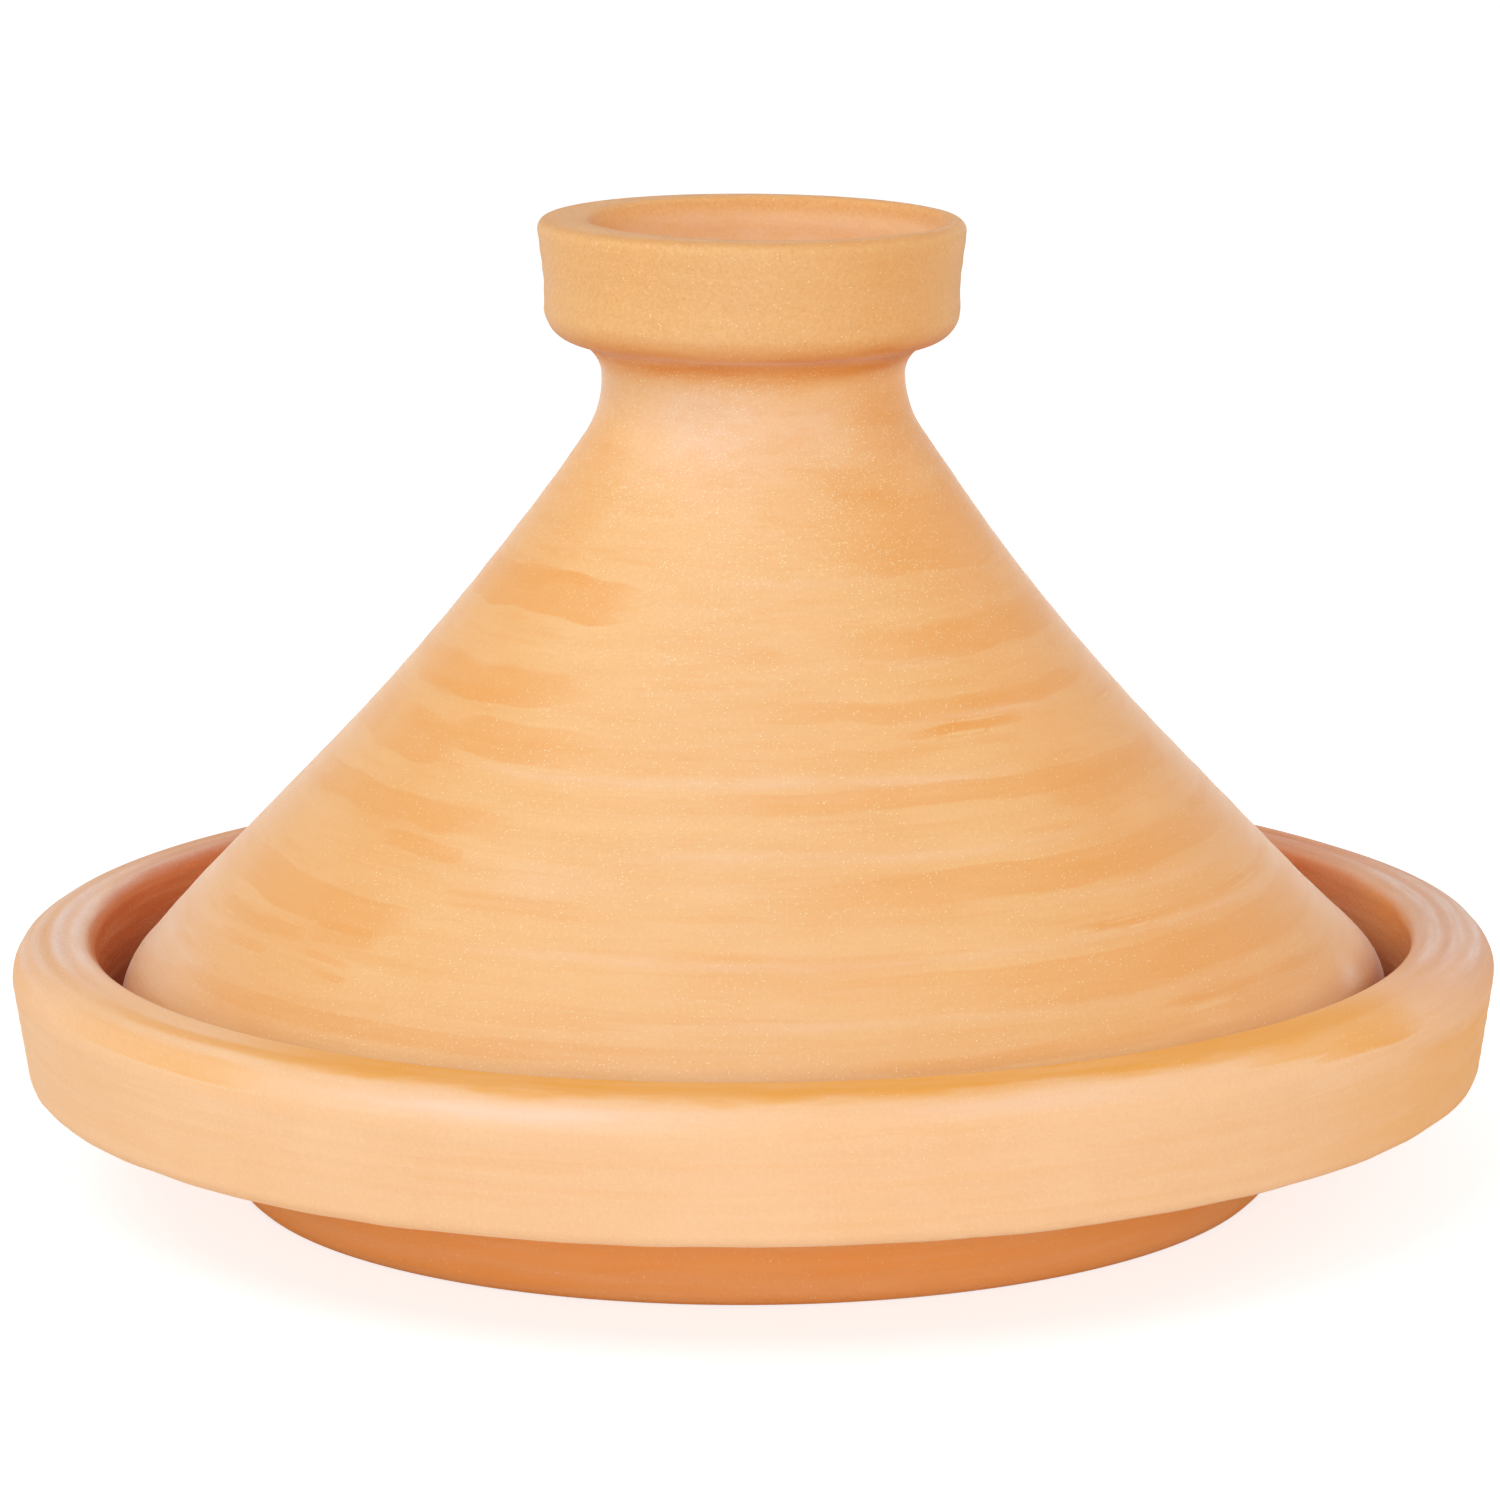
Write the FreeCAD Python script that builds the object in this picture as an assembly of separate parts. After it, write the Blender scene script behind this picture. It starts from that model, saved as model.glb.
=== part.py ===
import FreeCAD, Part
import math
import os

# An unglazed clay tagine: a shallow footed dish with a thick rim, and a tall cone-shaped lid that
# stands on a ledge inside that rim and is lifted by a cup-shaped knob.
# Millimetres and degrees, +Z up, origin at the centre of the foot. Each piece is thrown on a wheel, so
# each is one half section of radius and height, with rounded corners, turned about the Z axis.
# A lean is always measured from upright.

# Dish: foot, drum and the band that carries the rim
rim_diameter = 300.0         # widest, on the rounding of the rim
dish_height = 51.5           # table to the top of the rim
band_height = 28.5           # underside of the band to the top of the rim
band_lean = 8.4              # the band's wall narrows towards its lower edge
drum_diameter = 216.0        # drum under the band, where the two meet
drum_lean = 5.5              # the drum narrows towards the foot
foot_bevel = 3.0             # edge of the foot, trimmed off while the clay is leather-hard

# Dish: rim, ledge and bowl
rim_width = 16.5             # thickness of the rim, from its widest line to the gallery
rim_round = 7.3              # outer edge of the rim
ledge_thickness = 9.0        # clay between the ledge and the underside of the band
ledge_width = 23.5           # gallery wall to the inner edge of the ledge
bowl_lean = 28.0             # the bowl's wall narrows towards its floor
floor_thickness = 10.0

# Lid: foot, shoulder and cone
seat_play = 4.9              # clearance between the lid's foot and the gallery wall, all round
lid_wall = 8.0
shoulder_height = 9.6        # ledge to where the cone's side would meet the foot's wall
shoulder_round = 11.0
bend_height = 108.9          # ledge to where the cone's side would meet the neck's side
bend_diameter = 74.4         # across the cone there
bend_round = 122.0           # sweep from the cone up into the neck
neck_diameter = 58.6         # narrowest, under the knob
crown_height = 129.0         # ledge to the flat top of the hollow inside

# Lid: cup knob
lid_height = 162.8           # ledge to the top of the knob
knob_diameter = 85.6
knob_height = 23.1           # lower edge of the knob's wall to its top
knob_lean = 3.0              # the knob's wall narrows towards its lower edge
knob_edge_round = 6.9
knob_underside_drop = 3.1    # the underside slopes down towards the neck
knob_lip = 6.8               # thickness of the knob's wall across its top
cup_depth = 18.0
cup_lean = 9.5               # the cup's wall narrows towards its floor

# Heights and radii that the two pieces share
rim_radius = rim_diameter / 2
band_bottom = dish_height - band_height
ledge_level = band_bottom + ledge_thickness
gallery_radius = rim_radius - rim_width

shortest_line = 1e-6         # a straight run shorter than this is left out between two roundings


def point(radius, height):
    """Point of a half section."""
    return FreeCAD.Vector(radius, 0, height)


def run(lean, rise):
    """How far a wall of the given lean runs sideways over a rise."""
    return rise * math.tan(math.radians(lean))


class Section:
    """Half section of a turned piece: its corners in order, each with the radius that rounds it."""

    def __init__(self):
        self.corners = []
        self.rounds = []

    def corner(self, radius, height, rounding=0.0):
        """Add the next corner."""
        self.corners.append(point(radius, height))
        self.rounds.append(rounding)

    def sides(self, number):
        """Directions from a corner to the one before and the one after it, and the angle between."""
        here = self.corners[number]
        back = (self.corners[number - 1] - here).normalize()
        ahead = (self.corners[(number + 1) % len(self.corners)] - here).normalize()
        return back, ahead, back.getAngle(ahead)

    def fitted_rounds(self):
        """Rounding radii, made smaller where two of them would need more than the run between them."""
        count = len(self.corners)
        reach = [self.rounds[n] / math.tan(self.sides(n)[2] / 2) for n in range(count)]
        share = [1.0] * count
        for n in range(count):
            after = (n + 1) % count
            need = reach[n] + reach[after]
            length = (self.corners[after] - self.corners[n]).Length
            if need > length:
                share[n] = min(share[n], length / need)
                share[after] = min(share[after], length / need)
        return [self.rounds[n] * share[n] for n in range(count)]

    def outline(self):
        """Closed wire of straight runs, with a tangent arc at each rounded corner."""
        edges = []
        ends = []
        for n, rounding in enumerate(self.fitted_rounds()):
            here = self.corners[n]
            back, ahead, angle = self.sides(n)
            reach = rounding / math.tan(angle / 2)
            start = here + back * reach
            end = here + ahead * reach
            ends.append((start, end))
            if rounding > 0:
                to_arc = math.hypot(rounding, reach) - rounding
                middle = here + (back + ahead).normalize() * to_arc
                edges.append(Part.Arc(start, middle, end).toShape())
        for n, (start, _) in enumerate(ends):
            before = ends[n - 1][1]
            if (start - before).Length > shortest_line:
                edges.append(Part.LineSegment(before, start).toShape())
        return Part.Wire(Part.__sortEdges__(edges))

    def turned(self):
        """Solid that the section makes when it is turned about the Z axis."""
        turned = Part.Face(self.outline()).revolve(point(0, 0), FreeCAD.Vector(0, 0, 1), 360)
        return Part.Solid(turned.Shells[0])


def base_dish():
    """Shallow dish: drum on a flat foot, overhanging band, thick rim, ledge for the lid, and bowl."""
    drum_radius = drum_diameter / 2
    foot_radius = drum_radius - run(drum_lean, band_bottom)
    rim_corner = rim_radius + rim_round * (math.tan(math.radians(45 + band_lean / 2)) - 1)
    ledge_inner = gallery_radius - ledge_width

    section = Section()
    section.corner(0, 0)
    section.corner(foot_radius - foot_bevel, 0)
    section.corner(foot_radius + run(drum_lean, foot_bevel), foot_bevel)
    section.corner(drum_radius, band_bottom)
    section.corner(rim_corner - run(band_lean, band_height), band_bottom)
    section.corner(rim_corner, dish_height, rim_round)
    section.corner(gallery_radius, dish_height)
    section.corner(gallery_radius, ledge_level)
    section.corner(ledge_inner, ledge_level)
    section.corner(ledge_inner - run(bowl_lean, ledge_level - floor_thickness), floor_thickness)
    section.corner(0, floor_thickness)
    return section.turned()


def inner_side(outer_low, outer_high, level):
    """Radius at a level on the line that runs inside an outer side, a wall's thickness away."""
    lean = math.atan2(outer_low[0] - outer_high[0], outer_high[1] - outer_low[1])
    return outer_low[0] - (level - outer_low[1]) * math.tan(lean) - lid_wall / math.cos(lean)


def meeting_level(first, second):
    """Level where two inner sides meet, each given by the two ends of its outer side."""
    gap_low = inner_side(*first, 0) - inner_side(*second, 0)
    gap_high = inner_side(*first, 1) - inner_side(*second, 1)
    return gap_low / (gap_low - gap_high)


def lid():
    """Cone-shaped lid with its cup knob, one piece of clay, hollow from the foot up to the neck."""
    lid_radius = gallery_radius - seat_play
    knob_radius = knob_diameter / 2
    cup_radius = knob_radius - knob_lip
    top = ledge_level + lid_height
    cup_floor = top - cup_depth
    knob_bottom = top - knob_height
    crown_level = ledge_level + crown_height

    foot = (lid_radius, ledge_level)
    shoulder = (lid_radius, ledge_level + shoulder_height)
    bend = (bend_diameter / 2, ledge_level + bend_height)
    neck = (neck_diameter / 2, knob_bottom - knob_underside_drop)
    cone_side = (shoulder, bend)
    neck_side = (bend, neck)
    inner_shoulder = meeting_level((foot, shoulder), cone_side)
    inner_bend = meeting_level(cone_side, neck_side)

    section = Section()
    section.corner(0, cup_floor)
    section.corner(cup_radius - run(cup_lean, cup_depth), cup_floor)
    section.corner(cup_radius, top)
    section.corner(knob_radius, top)
    section.corner(knob_radius - run(knob_lean, knob_height), knob_bottom, knob_edge_round)
    section.corner(*neck)
    section.corner(*bend, bend_round)
    section.corner(*shoulder, shoulder_round)
    section.corner(*foot)
    section.corner(lid_radius - lid_wall, ledge_level)
    section.corner(lid_radius - lid_wall, inner_shoulder)
    section.corner(inner_side(*cone_side, inner_bend), inner_bend)
    section.corner(inner_side(*neck_side, crown_level), crown_level)
    section.corner(0, crown_level)
    return section.turned()


os.makedirs("parts", exist_ok=True)
for name, build in {"base_dish": base_dish, "lid": lid}.items():
    solid = build()
    print(name, "valid", solid.isValid(), "litres", round(solid.Volume / 1e6, 3))
    solid.exportStep(f"parts/{name}.step")
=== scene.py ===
import logging
import math
from dataclasses import dataclass, field
from enum import Enum

import bpy
import numpy as np
from mathutils import Euler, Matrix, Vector


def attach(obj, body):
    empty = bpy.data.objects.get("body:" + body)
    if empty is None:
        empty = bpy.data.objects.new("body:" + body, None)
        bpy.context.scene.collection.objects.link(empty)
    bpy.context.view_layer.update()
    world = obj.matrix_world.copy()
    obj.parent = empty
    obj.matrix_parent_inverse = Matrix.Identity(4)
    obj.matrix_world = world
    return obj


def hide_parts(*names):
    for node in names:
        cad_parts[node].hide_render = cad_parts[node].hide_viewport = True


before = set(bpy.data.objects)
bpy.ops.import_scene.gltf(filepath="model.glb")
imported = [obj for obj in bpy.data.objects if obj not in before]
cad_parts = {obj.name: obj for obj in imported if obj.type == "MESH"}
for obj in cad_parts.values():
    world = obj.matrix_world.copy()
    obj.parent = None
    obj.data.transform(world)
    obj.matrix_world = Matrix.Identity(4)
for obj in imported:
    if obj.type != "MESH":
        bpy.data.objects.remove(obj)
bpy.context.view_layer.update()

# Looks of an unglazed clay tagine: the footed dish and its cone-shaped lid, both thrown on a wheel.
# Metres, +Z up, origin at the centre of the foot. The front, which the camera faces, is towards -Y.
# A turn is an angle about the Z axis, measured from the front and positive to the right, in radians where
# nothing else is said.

MM = 0.001
SLIP_LAYERS = 3
EDGE_LIMIT = 3.0
LOG = logging.getLogger("tagine")

Colour = tuple[float, float, float, float]
Level = np.ndarray | float
Socket = bpy.types.NodeSocket
Feed = Socket | float | tuple[float, ...]


class Body(Enum):
    """Moving bodies of the part."""

    DISH = "dish"
    LID = "lid"


class Slot(Enum):
    """Material slots of the part."""

    DISH_CLAY = "dish_clay"
    LID_CLAY = "lid_clay"


class Mark(Enum):
    """Values that a thrown mesh carries at each vertex for its material."""

    THROWN = "thrown"    # cosine and sine of the turn, and the way along the half section in metres
    SLIP_EDGE = "slip_edge"      # three layers of slip: distance inside the edge of a stroke, in blurs
    SLIP_COVER = "slip_cover"    # three layers of slip: how much the stroke covers
    BLOOM_AND_PAINTED_SHINE = "crest"      # chalky bloom, and painted highlights and reflections, 0 to 1
    BARE_AND_PAINTED_LIGHT = "bare"        # darker bare clay, also painted shade and painted light, 0 to 1
    RED_BROWN_AND_SHADE = "inside"    # red-brown clay inside the pot, also painted shade, 0 to 1
    GRIT = "grit"        # coarse, gritty clay, 0 to 1
    MICA_GLINT = "mica"        # how much of the clay's mica shows, as painted glints, 0 to 1


def linear(red: int, green: int, blue: int) -> Colour:
    """Turn a display colour into the linear colour that a shader takes.

    Args:
        red: Red, 0 to 255.
        green: Green, 0 to 255.
        blue: Blue, 0 to 255.

    Returns:
        The linear colour with an alpha of 1.
    """
    shares = np.array([red, green, blue]) / 255.0
    low = shares / 12.92
    high = ((shares + 0.055) / 1.055) ** 2.4
    return (*np.where(shares <= 0.04045, low, high).tolist(), 1.0)


def smooth_step(values: np.ndarray, low: Level, high: Level) -> np.ndarray:
    """Rise smoothly from 0 at low to 1 at high: 3t^2 - 2t^3 of the clamped share t."""
    share = np.clip((values - low) / (high - low), 0.0, 1.0)
    return share * share * (3.0 - 2.0 * share)


def hump(values: np.ndarray, middle: Level, half_width: float) -> np.ndarray:
    """Bell of height 1 round a middle: exp(-((value - middle) / half width)^2)."""
    return np.exp(-(((values - middle) / half_width) ** 2))


@dataclass
class Section:
    """Half section of a thrown piece: corners in order from the axis back to the axis, each rounded.

    The samples run along the straight legs and along a tangent arc at each corner.
    """

    radii: list[float] = field(default_factory=list)
    heights: list[float] = field(default_factory=list)
    rounds: list[float] = field(default_factory=list)
    steps: list[float] = field(default_factory=list)

    def corner(self, radius: float, height: float, rounding: float = 0.0, step: float = 1.0) -> None:
        """Add the next corner, in millimetres.

        Args:
            radius: Distance from the axis.
            height: Height above the table.
            rounding: Radius that rounds the corner.
            step: Spacing of the samples on the leg that leads here and on the rounding.
        """
        self.radii.append(radius * MM)
        self.heights.append(height * MM)
        self.rounds.append(rounding * MM)
        self.steps.append(step * MM)

    def sampled(self) -> tuple[np.ndarray, np.ndarray]:
        """Sample the section.

        A corner with rounding q between legs at an angle a gets an arc that starts q / tan(a / 2) before
        it and ends as far after it; its centre lies on the line that halves the angle.

        Returns:
            Radii and heights of the samples, in metres.
        """
        corners = np.column_stack([self.radii, self.heights])
        runs = [corners[:1]]
        for number in range(1, len(corners)):
            here = corners[number]
            last = number == len(corners) - 1
            arc = here[None] if last else self._arc(corners, number)
            leg = arc[0] - runs[-1][-1]
            count = max(int(round(np.linalg.norm(leg) / self.steps[number])), 1)
            shares = np.linspace(0.0, 1.0, count + 1)[1:, None]
            runs.append(runs[-1][-1] + shares * leg)
            runs.append(arc[1:])
        points = np.concatenate(runs)
        return points[:, 0], points[:, 1]

    def _arc(self, corners: np.ndarray, number: int) -> np.ndarray:
        """Sample the arc that rounds one corner.

        Args:
            corners: Radii and heights of all corners, in metres.
            number: Number of the corner.

        Returns:
            Points from the arc's start to its end, or the corner alone if it isn't rounded.
        """
        here = corners[number]
        back = corners[number - 1] - here
        ahead = corners[number + 1] - here
        back /= np.linalg.norm(back)
        ahead /= np.linalg.norm(ahead)
        rounding = self.rounds[number]
        if rounding == 0.0:
            return here[None]
        half = math.acos(float(np.clip(back @ ahead, -1.0, 1.0))) / 2.0
        middle = (back + ahead) / np.linalg.norm(back + ahead)
        centre = here + middle * rounding / math.sin(half)
        swing = math.pi / 2.0 - half
        count = max(int(math.ceil(2.0 * swing * rounding / self.steps[number])), 3)
        across = (back - ahead) / np.linalg.norm(back - ahead)
        angles = np.linspace(swing, -swing, count + 1)[:, None]
        return centre + rounding * (-middle * np.cos(angles) + across * np.sin(angles))


class ThrownSurface:
    """A half section carried round the axis, with the unevenness that a potter's hands leave.

    A point is section point (r, z) plus a lift along the section's normal, at turn t:
    x = r sin t, y = -r cos t. All fields are arrays of samples along by turns round.
    """

    def __init__(self, section: Section, sides: int) -> None:
        """Carry the section round the axis.

        Args:
            section: Half section of the piece.
            sides: Number of turns at which the section stands.
        """
        radii, heights = section.sampled()
        self.turn = np.linspace(-math.pi, math.pi, sides, endpoint=False)[None, :]
        self.radius = radii[:, None] + 0.0 * self.turn
        self.height = heights[:, None] + 0.0 * self.turn
        steps = np.hypot(np.diff(radii), np.diff(heights))
        self.along = np.concatenate([[0.0], np.cumsum(steps)])[:, None]
        slope_r = np.gradient(radii, self.along[:, 0])
        slope_z = np.gradient(heights, self.along[:, 0])
        size = np.hypot(slope_r, slope_z)
        self.normal_r = (slope_z / size)[:, None]
        self.normal_z = (-slope_r / size)[:, None]
        self.lift = np.zeros_like(self.radius)
        self.shift_x = np.zeros_like(self.radius)
        self.shift_z = np.zeros_like(self.radius)

    def near(self, radius: float, height: float) -> float:
        """Way along the section, in metres, of the sample nearest to a point given in millimetres."""
        distance = np.hypot(self.radius[:, 0] - radius * MM, self.height[:, 0] - height * MM)
        return float(self.along[int(np.argmin(distance)), 0])

    def between(self, start: float, end: float, fade: float) -> np.ndarray:
        """Weight of 1 from one way along the section to another, fading over a length at both ends."""
        rise = smooth_step(self.along, start - fade, start + fade)
        return rise * (1.0 - smooth_step(self.along, end - fade, end + fade))

    def ridges(self, pitch: float, seed: int) -> np.ndarray:
        """Spiral of throwing ridges.

        The sine of (way along / pitch + turn / full turn), with a slow waver of its phase and depth.

        Args:
            pitch: Distance between two ridges, in metres.
            seed: Seed of the slow waver.

        Returns:
            Heights from -1 to 1.
        """
        rng = np.random.default_rng(seed)
        phases = rng.uniform(0.0, 2.0 * math.pi, 4)
        waver = 0.9 * np.sin(self.along / (3.7 * pitch) + phases[0])
        waver = waver + 0.5 * np.sin(2.0 * self.turn + phases[1] + self.along / (5.0 * pitch))
        depth = 0.7 + 0.3 * np.sin(self.along / (2.3 * pitch) + self.turn + phases[2])
        spiral = 2.0 * math.pi * self.along / pitch + self.turn
        return depth * np.sin(spiral + waver + phases[3])

    def throw(self, weight: np.ndarray, height: float, pitch: float, seed: int) -> None:
        """Lift the surface by throwing ridges where a weight lets them show.

        Args:
            weight: Where on the surface the ridges are, 0 to 1.
            height: Height of the ridges, in millimetres.
            pitch: Distance between two ridges, in millimetres.
            seed: Seed of their slow waver.
        """
        self.lift += height * MM * weight * self.ridges(pitch * MM, seed)

    def wobble(self, share: float, seed: int) -> None:
        """Make the rounds slightly uneven: radius times 1 + share x (two, three and five lobes).

        Args:
            share: Size of the two lobes, as a share of the radius.
            seed: Seed of the places of the lobes.
        """
        rng = np.random.default_rng(seed)
        phases = rng.uniform(0.0, 2.0 * math.pi, 3)
        lobes = np.cos(2.0 * self.turn + phases[0]) + 0.6 * np.cos(3.0 * self.turn + phases[1])
        lobes = lobes + 0.3 * np.cos(5.0 * self.turn + phases[2] + 20.0 * self.along)
        self.radius = self.radius * (1.0 + share * lobes)

    def places(self) -> np.ndarray:
        """Work out the places of the grid's points.

        Returns:
            Coordinates in metres, samples along by turns round by three.
        """
        radius = self.radius + self.lift * self.normal_r
        height = self.height + self.lift * self.normal_z + self.shift_z
        x = radius * np.sin(self.turn) + self.shift_x
        y = -radius * np.cos(self.turn)
        return np.stack([x, y, height], axis=-1)

    def mesh(self, name: str, marks: dict[Mark, np.ndarray]) -> bpy.types.Object:
        """Make the closed mesh, with one vertex at each pole and quads between the rings.

        Args:
            name: Name of the new object.
            marks: Values for the material, each samples by turns (by three for a vector).

        Returns:
            The object, linked to the scene.
        """
        places = self.places()
        count, sides = places.shape[:2]
        rings = count - 2
        vertices = np.concatenate([places[:1, 0], places[1:-1].reshape(-1, 3), places[-1:, 0]])
        ring = 1 + np.arange(rings * sides).reshape(rings, sides)
        beside = np.roll(ring, -1, axis=1)
        quads = np.stack([ring[:-1], beside[:-1], beside[1:], ring[1:]], axis=-1).reshape(-1, 4)
        first = np.stack([np.zeros(sides, int), beside[0], ring[0]], axis=-1)
        last = np.stack([ring[-1], beside[-1], np.full(sides, len(vertices) - 1)], axis=-1)

        mesh = bpy.data.meshes.new(name)
        mesh.from_pydata(vertices.tolist(), [], first.tolist() + quads.tolist() + last.tolist())
        mesh.polygons.foreach_set("use_smooth", np.ones(len(mesh.polygons), bool))
        for mark, values in marks.items():
            self._carry(mesh, mark, values)
        mesh.update()
        piece = bpy.data.objects.new(name, mesh)
        bpy.context.scene.collection.objects.link(piece)
        return piece

    def _carry(self, mesh: bpy.types.Mesh, mark: Mark, values: np.ndarray) -> None:
        """Store one mark at every vertex of the mesh.

        Args:
            mesh: Mesh that was made from this surface.
            mark: The mark.
            values: Its values, samples by turns (by three for a vector).
        """
        size = values.shape[2:]
        full = np.broadcast_to(values, (*self.radius.shape, *size))
        flat = np.concatenate([full[:1, 0], full[1:-1].reshape(-1, *size), full[-1:, 0]])
        kind = "FLOAT_VECTOR" if size else "FLOAT"
        store = mesh.attributes.new(mark.value, kind, "POINT")
        store.data.foreach_set("vector" if size else "value", flat.astype(np.float32).ravel())

    def thrown(self) -> np.ndarray:
        """Cosine and sine of the turn, and the way along the section, for patterns that follow it."""
        along = self.along + 0.0 * self.turn
        return np.stack([np.cos(self.turn) + 0.0 * along, np.sin(self.turn) + 0.0 * along, along], axis=-1)


@dataclass(frozen=True)
class Stroke:
    """One band of slip, brushed on while the piece turned.

    Attributes:
        layer: Layer of slip, 0 to 2; layers darken each other where they overlap.
        low: Level of its lower edge, in millimetres.
        high: Level of its upper edge, in millimetres.
        start: Turn of its left end, in degrees.
        end: Turn of its right end, in degrees.
        depth: How much the slip covers, 0 to 1.
        soft: Blur of its lower and of its upper edge, in millimetres.
        fade: Lengths over which its left and its right end thin out, in degrees.
        slant: How much higher its right end is than its left end, in millimetres.
        sway: How far its edges wander up and down, in millimetres.
    """

    layer: int
    low: float
    high: float
    start: float
    end: float
    depth: float = 0.6
    soft: tuple[float, float] = (0.5, 0.5)
    fade: tuple[float, float] = (8.0, 8.0)
    slant: float = 0.0
    sway: float = 0.45

    def cover(self, turn: np.ndarray, level: np.ndarray) -> tuple[np.ndarray, np.ndarray]:
        """Lay the stroke on a surface.

        With u the share of its half length, the half width is that of the middle times the root of
        1 - u^6, and the middle line wanders as a sum of three sines of the turn.

        Args:
            turn: Turns of the surface's points.
            level: Levels of the points on the surface, in millimetres.

        Returns:
            Distance inside the nearer edge in blurs of that edge, and the cover along the stroke.
        """
        length = self.end - self.start
        middle = math.radians((self.start + self.end) / 2.0)
        away = (turn - middle + math.pi) % (2.0 * math.pi) - math.pi
        u = away / math.radians(length / 2.0)
        waves = np.sin(5.0 * away + self.low) + 0.6 * np.sin(11.0 * away + 2.3 * self.high)
        waves = waves + 0.45 * np.sin(23.0 * away + 1.7 * self.low)
        centre = (self.low + self.high) / 2.0 + self.sway * waves
        centre = centre + 0.5 * self.slant * np.clip(u, -1.0, 1.0)
        half = (self.high - self.low) / 2.0 * np.sqrt(np.clip(1.0 - u**6, 0.0, 1.0))
        edge = np.minimum((level - centre + half) / self.soft[0], (centre + half - level) / self.soft[1])
        ends = np.degrees(away) + length / 2.0
        cover = smooth_step(ends, 0.0, self.fade[0])
        cover = cover * (1.0 - smooth_step(ends, length - self.fade[1], length))
        return np.clip(edge, -EDGE_LIMIT, EDGE_LIMIT), self.depth * cover


def slip_layers(
    surface: ThrownSurface, strokes: list[Stroke], level: np.ndarray, weight: np.ndarray
) -> dict[Mark, np.ndarray]:
    """Lay strokes over each other: each layer takes the stroke that covers a point most.

    Distances inside an edge are kept within a limit, because a material blends them between points.

    Args:
        surface: Surface that is brushed.
        strokes: The strokes.
        level: Levels of the points on the surface, in millimetres.
        weight: Where on the surface the slip is, 0 to 1.

    Returns:
        The edge and the cover of the three layers, each samples by turns by three.
    """
    edges = np.full((*surface.radius.shape, SLIP_LAYERS), -EDGE_LIMIT)
    covers = np.zeros_like(edges)
    most = np.zeros_like(edges)
    for stroke in strokes:
        edge, cover = stroke.cover(surface.turn, level)
        reach = smooth_step(edge, -1.0, 1.0) * cover
        more = reach > most[..., stroke.layer]
        most[..., stroke.layer] = np.where(more, reach, most[..., stroke.layer])
        edges[..., stroke.layer] = np.where(more, edge, edges[..., stroke.layer])
        covers[..., stroke.layer] = np.where(more, cover * weight, covers[..., stroke.layer])
    return {Mark.SLIP_EDGE: edges, Mark.SLIP_COVER: covers}


@dataclass(frozen=True)
class Patch:
    """A soft pale patch, used for painted highlights and painted light: a bell round a turn times a bell
    round a level.

    Attributes:
        share: Cover in its middle, 0 to 1.
        turn: Turn of its middle, in radians.
        spread: Half width of the bell round the turn, in radians.
        level: Level of its middle, in millimetres.
        reach: Half width of the bell round the level, in millimetres.
    """

    share: float
    turn: float
    spread: float
    level: float
    reach: float

    def cover(self, turn: np.ndarray, level: np.ndarray) -> np.ndarray:
        """Cover of the patch at points with these turns and levels."""
        return self.share * hump(turn, self.turn, self.spread) * hump(level, self.level, self.reach)


@dataclass(frozen=True)
class ChalkLine:
    """A thin line of chalky bloom that the wheel drew: a bell across a slightly wavy level.

    Attributes:
        share: Cover in its middle, 0 to 1.
        level: Level of the line, in millimetres.
        start: Turn of its left end, in radians.
        end: Turn of its right end, in radians.
        fade: Turn over which both ends thin out, in radians.
        reach: Half width of the bell, in millimetres.
        sway: How far the line wanders up and down, in millimetres.
    """

    share: float
    level: float
    start: float
    end: float
    fade: float = 0.25
    reach: float = 0.8
    sway: float = 0.3

    def cover(self, turn: np.ndarray, level: np.ndarray) -> np.ndarray:
        """Lay the line on a surface.

        Args:
            turn: Turns of the surface's points.
            level: Levels of the points, in millimetres.

        Returns:
            Cover of the line, 0 to 1.
        """
        along = smooth_step(turn, self.start, self.start + self.fade)
        along = along * (1.0 - smooth_step(turn, self.end - self.fade, self.end))
        middle = self.level + self.sway * np.sin(6.0 * turn + self.level)
        return self.share * along * hump(level, middle, self.reach)


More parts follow.
